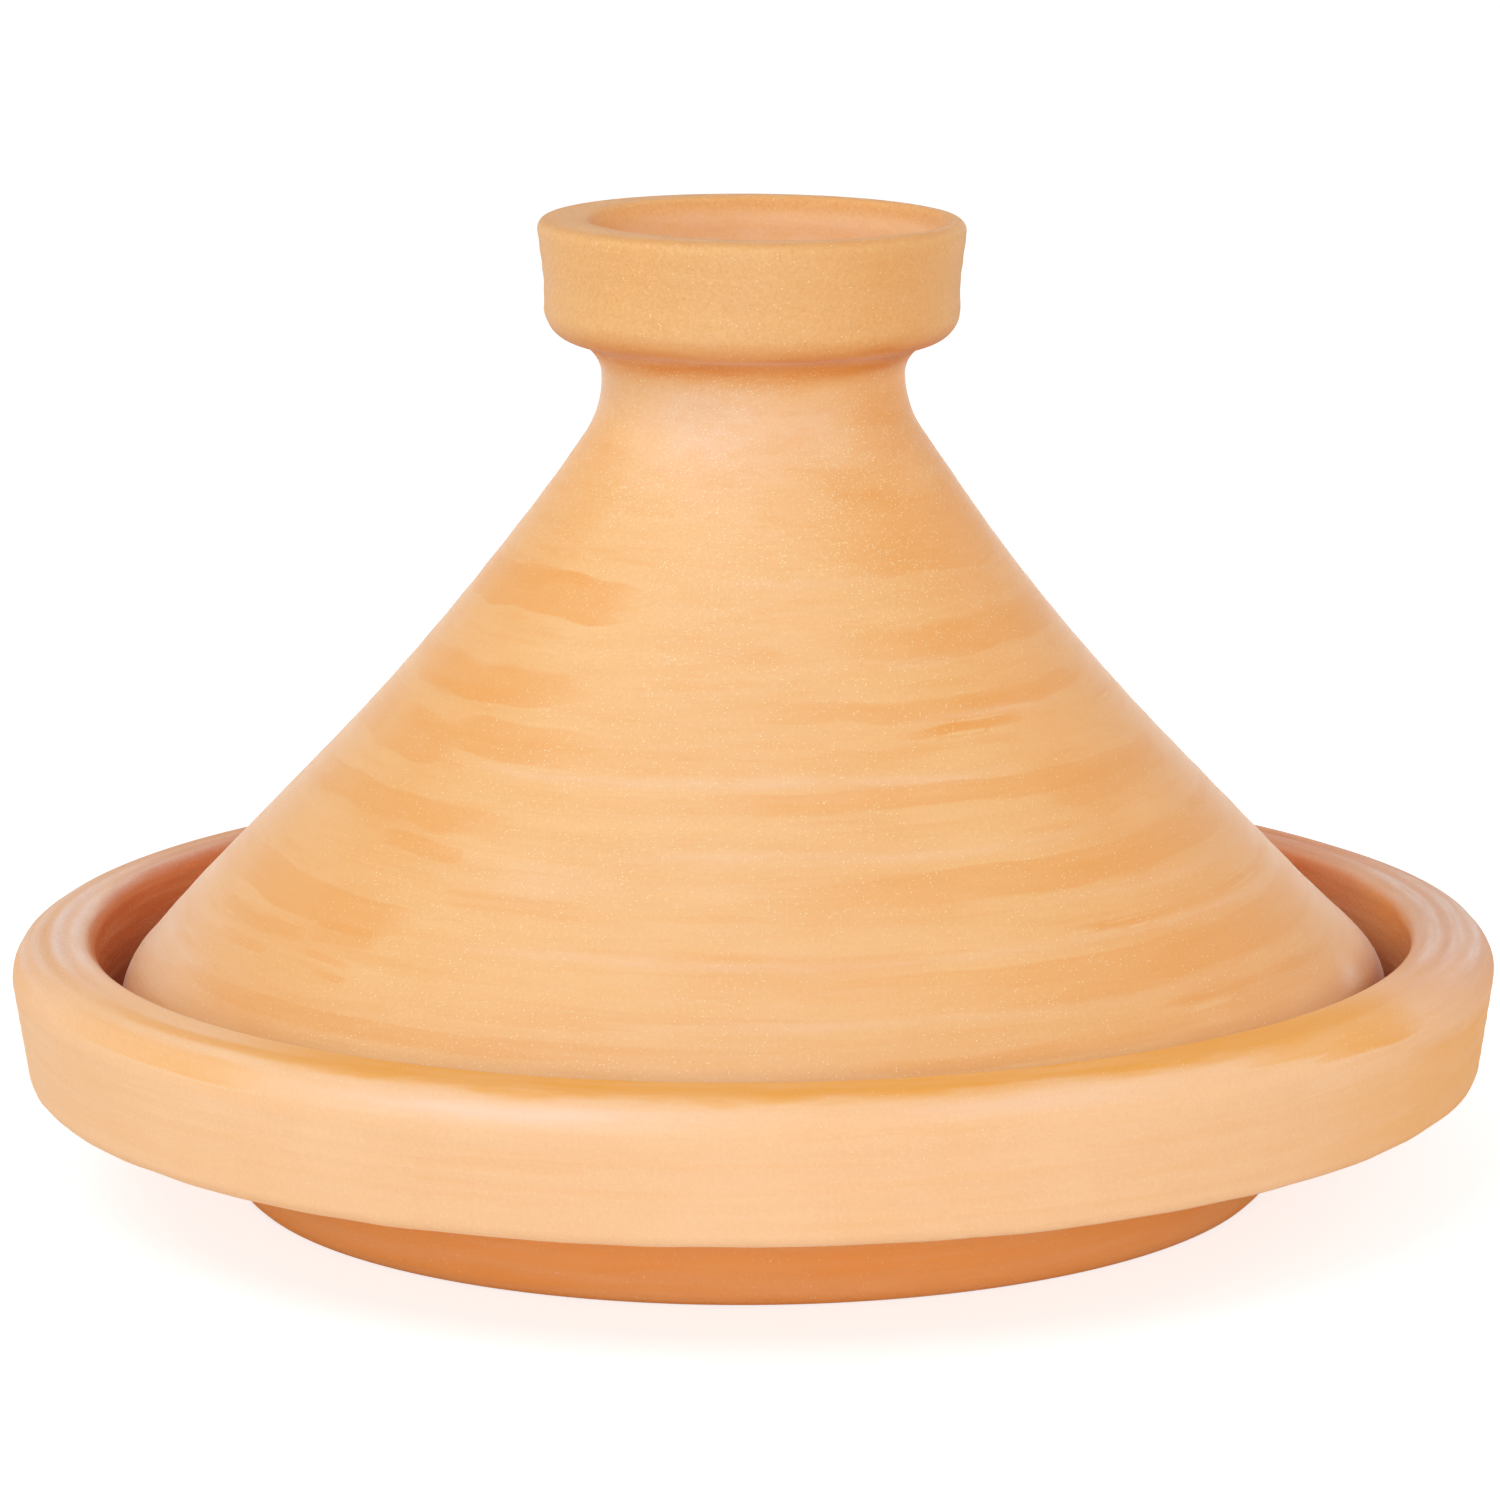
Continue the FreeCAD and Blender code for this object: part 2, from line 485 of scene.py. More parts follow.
class Wiring:
    """Adds nodes to one shader tree and joins their sockets."""

    def __init__(self, tree: bpy.types.NodeTree) -> None:
        """Take the tree that the nodes go into."""
        self.tree = tree

    def node(self, kind: str, **settings: object) -> bpy.types.Node:
        """Add a node.

        Args:
            kind: Kind of the node.
            **settings: Its properties, by name.

        Returns:
            The node.
        """
        made = self.tree.nodes.new(kind)
        for name, value in settings.items():
            setattr(made, name, value)
        return made

    def feed(self, socket: Socket, value: Feed) -> None:
        """Join a socket to another, or set its value.

        Args:
            socket: Input socket.
            value: Socket that feeds it, or its value.
        """
        if isinstance(value, bpy.types.NodeSocket):
            self.tree.links.new(value, socket)
        else:
            socket.default_value = value

    def math(self, operation: str, first: Feed, *others: Feed) -> Socket:
        """Work out one operation on a value and the next, then on the result and the one after.

        Args:
            operation: Name of the operation.
            first: First value.
            *others: The other values, one or more.

        Returns:
            Socket with the last result.
        """
        for other in others:
            made = self.node("ShaderNodeMath", operation=operation)
            self.feed(made.inputs[0], first)
            self.feed(made.inputs[1], other)
            first = made.outputs[0]
        return first

    def scaled(self, vector: Feed, scale: tuple[float, float, float]) -> Socket:
        """Multiply a vector by a scale on each axis.

        Args:
            vector: The vector.
            scale: Scale along X, Y and Z.

        Returns:
            Socket with the scaled vector.
        """
        made = self.node("ShaderNodeVectorMath", operation="MULTIPLY")
        self.feed(made.inputs[0], vector)
        self.feed(made.inputs[1], scale)
        return made.outputs[0]

    def noise(self, vector: Feed, scale: Feed, detail: float, roughness: float = 0.5) -> Socket:
        """Add noise in three dimensions.

        Args:
            vector: Place in the noise.
            scale: Scale of the place.
            detail: Number of finer layers.
            roughness: Share that each finer layer keeps.

        Returns:
            Socket with the noise, 0 to 1.
        """
        made = self.node("ShaderNodeTexNoise")
        self.feed(made.inputs["Vector"], vector)
        self.feed(made.inputs["Scale"], scale)
        made.inputs["Detail"].default_value = detail
        made.inputs["Roughness"].default_value = roughness
        return made.outputs[0]

    def step(self, value: Feed, low: Feed, high: Feed, out: tuple[float, float] = (0.0, 1.0)) -> Socket:
        """Let a value rise smoothly between two limits.

        Args:
            value: The value.
            low: Lower limit.
            high: Upper limit.
            out: Results at the lower and at the upper limit.

        Returns:
            Socket with the result.
        """
        made = self.node("ShaderNodeMapRange", interpolation_type="SMOOTHSTEP")
        self.feed(made.inputs["Value"], value)
        self.feed(made.inputs["From Min"], low)
        self.feed(made.inputs["From Max"], high)
        made.inputs["To Min"].default_value = out[0]
        made.inputs["To Max"].default_value = out[1]
        return made.outputs["Result"]

    def mix(self, share: Feed, first: Feed, second: Feed) -> Socket:
        """Mix two colours.

        Args:
            share: Share of the second colour.
            first: First colour.
            second: Second colour.

        Returns:
            Socket with the mixed colour.
        """
        made = self.node("ShaderNodeMix", data_type="RGBA")
        self.feed(made.inputs["Factor"], share)
        self.feed(made.inputs[6], first)
        self.feed(made.inputs[7], second)
        return made.outputs[2]

    def mark(self, mark: Mark) -> bpy.types.Node:
        """Node that reads a mark of the mesh."""
        return self.node("ShaderNodeAttribute", attribute_name=mark.value)


class ClayGroups:
    """Node groups for the effects that both clays show, each built once."""

    def __init__(self) -> None:
        """Build the four groups."""
        self.lines = self._wheel_lines()
        self.grain = self._clay_grain()
        self.slip = self._slip_wash()
        self.chalk_and_shine = self._bloom_and_shine()

    @staticmethod
    def _group(
        name: str, inputs: dict[str, str], outputs: list[str]
    ) -> tuple[Wiring, dict[str, Socket], dict[str, Socket]]:
        """Start a node group.

        Args:
            name: Name of the group.
            inputs: Names of its inputs and their kinds.
            outputs: Names of its outputs, all values.

        Returns:
            Its wiring, its input sockets and its output sockets, by name.
        """
        tree = bpy.data.node_groups.new(name, "ShaderNodeTree")
        for label, kind in inputs.items():
            tree.interface.new_socket(label, in_out="INPUT", socket_type=kind)
        for label in outputs:
            tree.interface.new_socket(label, in_out="OUTPUT", socket_type="NodeSocketFloat")
        wiring = Wiring(tree)
        start = wiring.node("NodeGroupInput")
        end = wiring.node("NodeGroupOutput")
        return wiring, {s.name: s for s in start.outputs}, {s.name: s for s in end.inputs}

    def _wheel_lines(self) -> bpy.types.NodeTree:
        """Fine lines and streaks that the wheel leaves: noise drawn out round the piece.

        Returns:
            The group, with the lines' height and tone and the mask of the streaks.
        """
        round_scale = 1.6
        wiring, given, made = self._group(
            "wheel_lines",
            {"Thrown": "NodeSocketVector", "Lines per metre": "NodeSocketFloat"},
            ["Height", "Tone", "Streak"],
        )
        parts = wiring.node("ShaderNodeSeparateXYZ")
        wiring.feed(parts.inputs[0], given["Thrown"])
        along = wiring.math("MULTIPLY", parts.outputs[2], given["Lines per metre"])
        joined = wiring.node("ShaderNodeCombineXYZ")
        wiring.feed(joined.inputs[0], wiring.math("MULTIPLY", parts.outputs[0], round_scale))
        wiring.feed(joined.inputs[1], wiring.math("MULTIPLY", parts.outputs[1], round_scale))
        wiring.feed(joined.inputs[2], along)
        place = joined.outputs[0]
        wiring.feed(made["Height"], wiring.noise(place, 1.0, detail=3.0, roughness=0.65))
        broad = wiring.scaled(place, (1.7, 1.7, 0.31))
        wiring.feed(made["Tone"], wiring.noise(broad, 1.0, detail=2.0, roughness=0.5))
        drawn_out = wiring.scaled(place, (1.3, 1.3, 0.4))
        streaks = wiring.noise(drawn_out, 1.0, detail=4.0, roughness=0.6)
        wiring.feed(made["Streak"], wiring.step(streaks, 0.54, 0.6))
        return wiring.tree

    def _clay_grain(self) -> bpy.types.NodeTree:
        """Sandy grain: fine noise, and dots of mica, painted glints, and small pits in a few cells of a cell
        pattern.

        Returns:
            The group, with the grain's height, a broad mottle and the masks of specks and pits.
        """
        pit_share = 0.14
        least_shine = 0.15
        wiring, given, made = self._group(
            "clay_grain",
            {
                "Position": "NodeSocketVector",
                "Grains per metre": "NodeSocketFloat",
                "Mica": "NodeSocketFloat",
            },
            ["Height", "Mottle", "Speck", "Pit"],
        )
        position = given["Position"]
        sand = wiring.math("MULTIPLY", given["Grains per metre"], 0.5)
        wiring.feed(made["Height"], wiring.noise(position, sand, detail=4.0, roughness=0.7))
        mottle = wiring.noise(position, 38.0, detail=3.0, roughness=0.55)
        wiring.feed(made["Mottle"], mottle)
        cells = wiring.node("ShaderNodeTexVoronoi", feature="F1")
        wiring.feed(cells.inputs["Vector"], position)
        wiring.feed(cells.inputs["Scale"], given["Grains per metre"])
        near = wiring.step(cells.outputs["Distance"], 0.43, 0.18)
        pick = wiring.node("ShaderNodeSeparateColor")
        wiring.feed(pick.inputs[0], cells.outputs["Color"])
        chosen = wiring.math("GREATER_THAN", given["Mica"], pick.outputs[0])
        patchy = wiring.step(mottle, 0.34, 0.56)
        bright = wiring.math("MULTIPLY", wiring.math("POWER", pick.outputs[2], 1.6), patchy)
        bright = wiring.math("ADD", wiring.math("MULTIPLY", bright, 1.0 - least_shine), least_shine)
        shine = wiring.math("MULTIPLY", chosen, bright)
        wiring.feed(made["Speck"], wiring.math("MULTIPLY", near, shine))
        hollow = wiring.math("GREATER_THAN", pick.outputs[1], 1.0 - pit_share)
        wiring.feed(made["Pit"], wiring.math("MULTIPLY", near, hollow))
        return wiring.tree

    def _slip_wash(self) -> bpy.types.NodeTree:
        """Cover of a slip stroke: its edge made uneven and cut off, streaked along the stroke.

        Returns:
            The group, with the mask of the slip.
        """
        ragged = 1.1
        wiring, given, made = self._group(
            "slip_wash",
            {
                "Edge": "NodeSocketFloat",
                "Cover": "NodeSocketFloat",
                "Thrown": "NodeSocketVector",
                "Offset": "NodeSocketVector",
            },
            ["Mask"],
        )
        shifted = wiring.node("ShaderNodeVectorMath", operation="ADD")
        wiring.feed(shifted.inputs[0], wiring.scaled(given["Thrown"], (7.0, 7.0, 260.0)))
        wiring.feed(shifted.inputs[1], given["Offset"])
        drawn_out = wiring.noise(shifted.outputs[0], 1.0, detail=3.0, roughness=0.55)
        uneven = wiring.math("SUBTRACT", drawn_out, 0.5)
        edge = wiring.math("ADD", given["Edge"], wiring.math("MULTIPLY", uneven, ragged))
        inside = wiring.step(edge, 0.0, 1.0)
        streaks = wiring.step(uneven, -0.3, 0.3, (0.75, 1.15))
        cover = wiring.math("MULTIPLY", given["Cover"], streaks)
        wiring.feed(made["Mask"], wiring.math("MULTIPLY", inside, cover))
        return wiring.tree

    def _bloom_and_shine(self) -> bpy.types.NodeTree:
        """Chalky bloom and painted shine, on the ridges' crests and elsewhere, broken up by drawn-out noise.

        Returns:
            The group, with the mask of the bloom.
        """
        wiring, given, made = self._group(
            "bloom_and_shine",
            {"Crest": "NodeSocketFloat", "Thrown": "NodeSocketVector"},
            ["Mask"],
        )
        drawn_out = wiring.scaled(given["Thrown"], (6.0, 6.0, 420.0))
        streaks = wiring.noise(drawn_out, 1.0, detail=4.0, roughness=0.6)
        broken = wiring.step(streaks, 0.25, 0.7, (0.5, 1.0))
        wiring.feed(made["Mask"], wiring.math("MULTIPLY", given["Crest"], broken))
        return wiring.tree


@dataclass(frozen=True)
class ClayFinish:
    """Unglazed clay with slip strokes, fine wheel lines, grain and mica, and some painted shade, light and
    shine.

    Attributes:
        slot: Material slot of the part.
        light: Colour of the clay on the crests of its lines.
        deep: Colour between its lines.
        slip: Colour of the slip strokes.
        bare: Colour of bare clay that no slip covered; also painted shade and painted light.
        inside: Colour of the clay inside the pot; also painted shade.
        chalk_and_shine: Colour of the chalky bloom and of painted highlights and reflections.
        mica: Colour of the bright specks, painted glints of mica.
        lines: Fine lines per metre.
        line_height: Height of the fine lines, in metres.
        line_tone: How much the lines change the colour.
        streaks: How much the streaks between the lines cover.
        grain: Grains per metre.
        grain_height: Height of the grain, in metres.
        mica_share: Share of the grains that shine.
        roughness: Roughness between the grains.
        line_dullness: How much rougher the crests of the lines are than what lies between them.
        grit_dullness: How much rougher gritty clay is.
        mica_shine: How much smoother the bright specks are.
        gloss: Strength of the mirrored light.
        sheen: Weight of the sheen that fine dust gives the clay.
        sheen_roughness: How far the sheen spreads.
        sheen_tint: Colour of the sheen.
        mottle: How much broad patches change the colour.
        sand: How much the fine grain changes the colour of plain clay.
        ground_range: Sum of tone, grain and mottle at which the colour is light, and at which it is deep.
        grit_lines: How much the lines still show on gritty clay.
        grit_rise: How much higher the grain of gritty clay is, added to 1.
        pit_cover: How dark the pits of gritty clay are.
    """

    slot: Slot
    light: Colour
    deep: Colour
    slip: Colour
    bare: Colour
    inside: Colour
    chalk_and_shine: Colour
    mica: Colour
    lines: float = 900.0
    line_height: float = 0.00008
    line_tone: float = 0.5
    streaks: float = 0.16
    grain: float = 2500.0
    grain_height: float = 0.00008
    mica_share: float = 0.62
    roughness: float = 0.44
    line_dullness: float = 0.16
    grit_dullness: float = 0.5
    mica_shine: float = 0.2
    gloss: float = 0.22
    sheen: float = 0.55
    sheen_roughness: float = 0.2
    sheen_tint: Colour = (1.0, 0.88, 0.83, 1.0)
    mottle: float = 0.45
    sand: float = 0.6
    ground_range: tuple[float, float] = (-0.08, 0.52)
    grit_lines: float = 0.2
    grit_rise: float = 3.2
    pit_cover: float = 0.35

    def material(self, groups: ClayGroups) -> bpy.types.Material:
        """Make the material.

        Args:
            groups: The shared node groups.

        Returns:
            The material, named for its slot.
        """
        made = bpy.data.materials.new(self.slot.value)
        made.use_nodes = True
        made.node_tree.nodes.clear()
        wiring = Wiring(made.node_tree)
        thrown = wiring.mark(Mark.THROWN).outputs["Vector"]
        position = wiring.node("ShaderNodeTexCoord").outputs["Object"]
        grit = wiring.mark(Mark.GRIT).outputs["Fac"]

        lines = self._placed(wiring, groups.lines, {"Thrown": thrown, "Lines per metre": self.lines})
        grain = self._placed(
            wiring,
            groups.grain,
            {
                "Position": position,
                "Grains per metre": self.grain,
                "Mica": wiring.math("MULTIPLY", wiring.mark(Mark.MICA_GLINT).outputs["Fac"], self.mica_share),
            },
        )
        plain = wiring.step(grit, 0.0, 1.0, (1.0, self.grit_lines))
        colour = self._colour(wiring, groups, thrown, lines, grain, grit, plain)
        pitted = wiring.math("MULTIPLY", grain.outputs["Pit"], grit, self.pit_cover)
        colour = wiring.mix(pitted, colour, self.inside)

        shader = wiring.node("ShaderNodeBsdfPrincipled")
        wiring.feed(shader.inputs["Base Color"], colour)
        dull = wiring.math("MULTIPLY", lines.outputs["Height"], self.line_dullness)
        gritty = wiring.math("MULTIPLY", grit, self.grit_dullness)
        rough = wiring.math("ADD", dull, self.roughness - self.line_dullness / 2.0, gritty)
        shine = wiring.math("MULTIPLY", grain.outputs["Speck"], self.mica_shine)
        wiring.feed(shader.inputs["Roughness"], wiring.math("SUBTRACT", rough, shine))
        shader.inputs["Specular IOR Level"].default_value = self.gloss
        shader.inputs["Sheen Weight"].default_value = self.sheen
        shader.inputs["Sheen Roughness"].default_value = self.sheen_roughness
        shader.inputs["Sheen Tint"].default_value = self.sheen_tint

        grain_rise = wiring.math("ADD", wiring.math("MULTIPLY", grit, self.grit_rise), 1.0)
        rise = wiring.math("MULTIPLY", grain.outputs["Height"], grain_rise, self.grain_height)
        drawn = wiring.math("MULTIPLY", lines.outputs["Height"], plain, self.line_height)
        bump = wiring.node("ShaderNodeBump")
        bump.inputs["Strength"].default_value = 1.0
        bump.inputs["Distance"].default_value = 1.0
        wiring.feed(bump.inputs["Height"], wiring.math("ADD", rise, drawn))
        wiring.feed(shader.inputs["Normal"], bump.outputs["Normal"])

        out = wiring.node("ShaderNodeOutputMaterial")
        wiring.feed(out.inputs["Surface"], shader.outputs["BSDF"])
        return made

    @staticmethod
    def _placed(wiring: Wiring, group: bpy.types.NodeTree, values: dict[str, Feed]) -> bpy.types.Node:
        """Place a node group and feed its inputs.

        Args:
            wiring: Wiring of the material.
            group: The group's tree.
            values: What feeds its inputs, by name.

        Returns:
            The placed group.
        """
        made = wiring.node("ShaderNodeGroup")
        made.node_tree = group
        for name, value in values.items():
            wiring.feed(made.inputs[name], value)
        return made

    def _colour(
        self,
        wiring: Wiring,
        groups: ClayGroups,
        thrown: Socket,
        lines: bpy.types.Node,
        grain: bpy.types.Node,
        grit: Socket,
        plain: Socket,
    ) -> Socket:
        """Colour of the clay: ground, then slip, bare and red-brown clay, pale bloom and mica over each
        other; some are painted shade, light and shine.

        Args:
            wiring: Wiring of the material.
            groups: The shared node groups.
            thrown: Cosine and sine of the turn, and the way along the section.
            lines: Placed group of the wheel lines.
            grain: Placed group of the grain.
            grit: How gritty the clay is.
            plain: How much the lines show; less on gritty clay.

        Returns:
            Socket with the colour.
        """
        tone = wiring.math("SUBTRACT", lines.outputs["Tone"], 0.5)
        tone = wiring.math("MULTIPLY", tone, plain, self.line_tone)
        sandy = wiring.math("ADD", grit, self.sand)
        fine = wiring.math("MULTIPLY", wiring.math("SUBTRACT", grain.outputs["Height"], 0.5), sandy)
        mottle = wiring.math("MULTIPLY", grain.outputs["Mottle"], self.mottle)
        ground = wiring.step(wiring.math("ADD", tone, fine, mottle), *self.ground_range)
        colour = wiring.mix(ground, self.light, self.deep)
        streaks = wiring.math("MULTIPLY", lines.outputs["Streak"], plain, self.streaks)
        colour = wiring.mix(streaks, colour, self.slip)

        edges = wiring.node("ShaderNodeSeparateXYZ")
        wiring.feed(edges.inputs[0], wiring.mark(Mark.SLIP_EDGE).outputs["Vector"])
        covers = wiring.node("ShaderNodeSeparateXYZ")
        wiring.feed(covers.inputs[0], wiring.mark(Mark.SLIP_COVER).outputs["Vector"])
        for layer in range(SLIP_LAYERS):
            slip = self._placed(
                wiring,
                groups.slip,
                {
                    "Edge": edges.outputs[layer],
                    "Cover": covers.outputs[layer],
                    "Thrown": thrown,
                    "Offset": (3.1 * layer, 1.7 * layer, 5.3 * layer),
                },
            )
            colour = wiring.mix(slip.outputs["Mask"], colour, self.slip)

        # Bare and red-brown clay also give painted shade and painted light, and the pale bloom painted
        # highlights and reflections.
        bare = wiring.mark(Mark.BARE_AND_PAINTED_LIGHT).outputs["Fac"]
        streaked = wiring.step(lines.outputs["Tone"], 0.25, 0.75, (0.76, 1.08))
        colour = wiring.mix(wiring.math("MULTIPLY", bare, streaked), colour, self.bare)
        red_brown_and_shade = wiring.mark(Mark.RED_BROWN_AND_SHADE).outputs["Fac"]
        colour = wiring.mix(wiring.math("MULTIPLY", red_brown_and_shade, streaked), colour, self.inside)
        chalk_and_shine = self._placed(
            wiring,
            groups.chalk_and_shine,
            {"Crest": wiring.mark(Mark.BLOOM_AND_PAINTED_SHINE).outputs["Fac"], "Thrown": thrown},
        )
        colour = wiring.mix(chalk_and_shine.outputs["Mask"], colour, self.chalk_and_shine)
        # The bright specks are painted glints of mica.
        return wiring.mix(grain.outputs["Speck"], colour, self.mica)


@dataclass
class BaseDish:
    """The footed dish: drum, overhanging band, thick ridged rim, gallery with the lid's ledge, and bowl.

    Sizes are in millimetres, unevenness is a share of the radius, and throwing ridges are given by their
    height and their pitch.
    """

    finish: ClayFinish
    sides: int = 180
    foot_radius: float = 105.8
    foot_round: float = 3.2
    drum_radius: float = 108.0
    drum_round: float = 4.0
    band_bottom: float = 23.0
    band_radius: float = 146.9
    band_round: float = 2.6
    rim_height: float = 51.4
    rim_rise: float = 0.6
    rim_corner: float = 151.1
    rim_round: float = 7.3
    rim_inner: float = 133.5
    rim_inner_round: float = 3.2
    gallery_radius: float = 132.2
    ledge_level: float = 31.9
    ledge_round: float = 2.0
    ledge_inner: float = 110.0
    ledge_inner_round: float = 3.5
    bowl_radius: float = 98.0
    bowl_round: float = 14.0
    floor_level: float = 10.0
    unevenness: float = 0.0007
    rim_ridge_height: float = 0.28
    wall_ridges: tuple[float, float] = (0.04, 3.6)
    gallery_ridges: tuple[float, float] = (0.05, 2.6)
    bowl_ridges: tuple[float, float] = (0.35, 8.5)
    band_roughness: float = 0.22
    rim_sag: float = 1.4

    def section(self) -> Section:
        """Lay out the half section of the dish.

        Returns:
            The section, from the middle of the foot to the middle of the bowl's floor.
        """
        section = Section()
        section.corner(0.0, 0.0)
        section.corner(self.foot_radius, 0.0, self.foot_round, step=3.0)
        section.corner(self.drum_radius, self.band_bottom, self.drum_round, step=0.8)
        section.corner(self.band_radius, self.band_bottom, self.band_round, step=1.4)
        section.corner(self.rim_corner, self.rim_height, self.rim_round, step=0.55)
        section.corner(self.rim_inner, self.rim_height + self.rim_rise, self.rim_inner_round, step=0.4)
        section.corner(self.gallery_radius, self.ledge_level, self.ledge_round, step=0.7)
        section.corner(self.ledge_inner, self.ledge_level, self.ledge_inner_round, step=1.2)
        section.corner(self.bowl_radius, self.floor_level, self.bowl_round, step=1.2)
        section.corner(0.0, self.floor_level, step=1.1)
        return section

    def build(self) -> bpy.types.Object:
        """Make the dish's mesh.

        Returns:
            The dish.
        """
        surface = ThrownSurface(self.section(), self.sides)
        drum = surface.near(self.foot_radius, 2.0)
        band = surface.near(self.band_radius, self.band_bottom)
        rim = surface.near(self.rim_corner - 3.0, self.rim_height - 4.0)
        inner = surface.near(self.rim_inner, self.rim_height + self.rim_rise)
        ledge = surface.near(self.gallery_radius, self.ledge_level)
        bowl = surface.near(self.ledge_inner, self.ledge_level)
        end = float(surface.along[-1, 0])
        turn = surface.turn
        away = np.abs(turn)

        # Ridges stand on the rim's sides and back; its front is wiped nearly smooth.
        surface.wobble(self.unevenness, seed=11)
        outward = (inner - surface.along) / MM
        ridge = self.ridge_lines(turn, outward)
        top = surface.between(rim, inner, 3.0 * MM)
        side = smooth_step(away, 1.08, 1.48)
        surface.lift += self.rim_ridge_height * MM * top * (0.1 + 0.9 * side) * (ridge - 1.0)
        walls = surface.between(drum, band, 3.0 * MM) + surface.between(band, rim, 3.0 * MM)
        surface.throw(walls, *self.wall_ridges, seed=21)
        surface.throw(surface.between(inner, ledge, 2.0 * MM), *self.gallery_ridges, seed=22)
        surface.throw(surface.between(bowl, end - 8.0 * MM, 6.0 * MM), *self.bowl_ridges, seed=23)

        # The band's lower edge is ragged, and the rim sags at the back right.
        counts = (7, 13, 22, 37, 53)
        ragged = sum(np.sin(count * turn + 1.7 * count) / len(counts) for count in counts)
        surface.lift += self.band_roughness * MM * hump(surface.along, band, 2.0 * MM) * ragged
        sag = hump(turn, 2.1, 0.6) * surface.between(band, ledge, 8.0 * MM)
        surface.shift_z = -self.rim_sag * MM * sag

        # Red-brown clay starts at the rim's inner edge; at the back it starts further out, and softly. Its
        # darkness in the gallery is partly painted shade.
        behind = smooth_step(away, 1.6, 2.1)
        edge = inner + (0.3 + 1.5 * np.sin(turn) - 6.0 * behind) * MM
        blur = (0.9 + 5.0 * behind) * MM
        inside = smooth_step(surface.along, edge - blur, edge + blur)
        basin = smooth_step(surface.along, bowl - 12.0 * MM, bowl + 6.0 * MM)
        # The drum under the band is bare clay; its strong orange is partly painted bounce light.
        drum_bare_and_bounce = 1.0 - smooth_step(surface.along, band - 2.5 * MM, band - 0.5 * MM)

        # The gallery's right wall is made paler and orange, painted light, and the rim's sides and back have
        # a red blush.
        upper = 1.0 - smooth_step(surface.along, inner + 5.0 * MM, inner + 20.0 * MM)
        pale = hump(turn, 1.7, 0.2) * upper
        right = smooth_step(turn, 0.85, 1.4) * (1.0 - smooth_step(turn, 2.3, 3.1))
        blush = 0.13 * smooth_step(away, 0.85, 1.4) + 0.3 * right + 0.36 * smooth_step(away, 1.65, 2.2)
        blush = blush * surface.between(rim - 5.0 * MM, inner, 5.0 * MM)
        marks = {
            Mark.THROWN: surface.thrown(),
            **slip_layers(surface, self.strokes(), outward, 1.0 - inside),
            Mark.BLOOM_AND_PAINTED_SHINE: self.bloom(turn, outward, top * side * ridge),
            Mark.BARE_AND_PAINTED_LIGHT: 0.9 * drum_bare_and_bounce + 0.85 * np.maximum(inside * pale, basin),
            Mark.RED_BROWN_AND_SHADE: np.maximum(0.95 * inside * (1.0 - pale) * (1.0 - 0.6 * basin), blush),
            Mark.GRIT: np.clip(0.4 * drum_bare_and_bounce + inside + top * side, 0.0, 1.0),
            Mark.MICA_GLINT: np.ones_like(surface.radius),
        }
        return surface.mesh("clay_dish", marks)

    @staticmethod
    def ridge_lines(turn: np.ndarray, outward: np.ndarray) -> np.ndarray:
        """Crests of the rim's throwing ridges.

        Each crest is a bell across the rim; its distance from the inner edge drifts from a value on the
        left side to another on the right side with the sine of the turn.

        Args:
            turn: Turns of the surface's points.
            outward: Way of the points outwards from the rim's inner edge, in millimetres.

        Returns:
            Height of the crests, 0 to 1.
        """
        drift = 0.5 + 0.5 * np.sin(turn)
        wander = 0.25 * np.sin(3.0 * turn + 0.6)
        crests = np.zeros_like(turn * outward)
        for left, right in ((3.0, -0.3), (7.0, 4.4), (11.2, 9.1), (14.6, 12.9)):
            crests += hump(outward, left + (right - left) * drift + wander, 1.3)
        return np.clip(crests, 0.0, 1.0)

    @staticmethod
    def bloom(turn: np.ndarray, outward: np.ndarray, ridge: np.ndarray) -> np.ndarray:
        """Pale bloom, all painted shine: painted reflections on ridges, sides and back, painted highlights
        at the front.

        Args:
            turn: Turns of the surface's points.
            outward: Way of the points outwards from the rim's inner edge, in millimetres.
            ridge: Height of the ridges on the sides, 0 to 1.

        Returns:
            Cover of the bloom, 0 to 1.
        """
        behind = smooth_step(np.abs(turn), 1.65, 2.1)
        outer_left, outer_right = 6.5, 15.5
        outer = np.where(turn > 0.0, outer_right, outer_left)
        broad = smooth_step(outward, -0.8, 1.2) * (1.0 - smooth_step(outward, outer, outer + 3.5))
        back_sheen = smooth_step(outward, -1.0, 3.0) * (1.0 - smooth_step(outward, 18.0, 24.0))
        front_left_highlight = smooth_step(turn, -1.5, -1.1) * (1.0 - smooth_step(turn, -0.8, -0.45))
        # Every term is painted shine: reflections on the crests, sides and back, and highlights on the
        # front's inner edge and rounding.
        cover = (0.8 + 0.15 * np.sin(turn)) * ridge * (1.0 - 0.85 * behind)
        cover = cover + 0.5 * hump(outward, 0.8, 0.9) * front_left_highlight
        cover = cover + broad * (0.5 * hump(turn, -1.5, 0.35) + 0.4 * hump(turn, 1.5, 0.35))
        cover = cover + 0.3 * back_sheen * hump(np.abs(turn), 1.95, 0.35)
        for patch in (Patch(0.55, -0.31, 0.24, 16.2, 2.3), Patch(0.25, 0.33, 0.2, 15.6, 2.0)):
            cover = cover + patch.cover(turn, outward)
        return np.clip(cover, 0.0, 1.0)

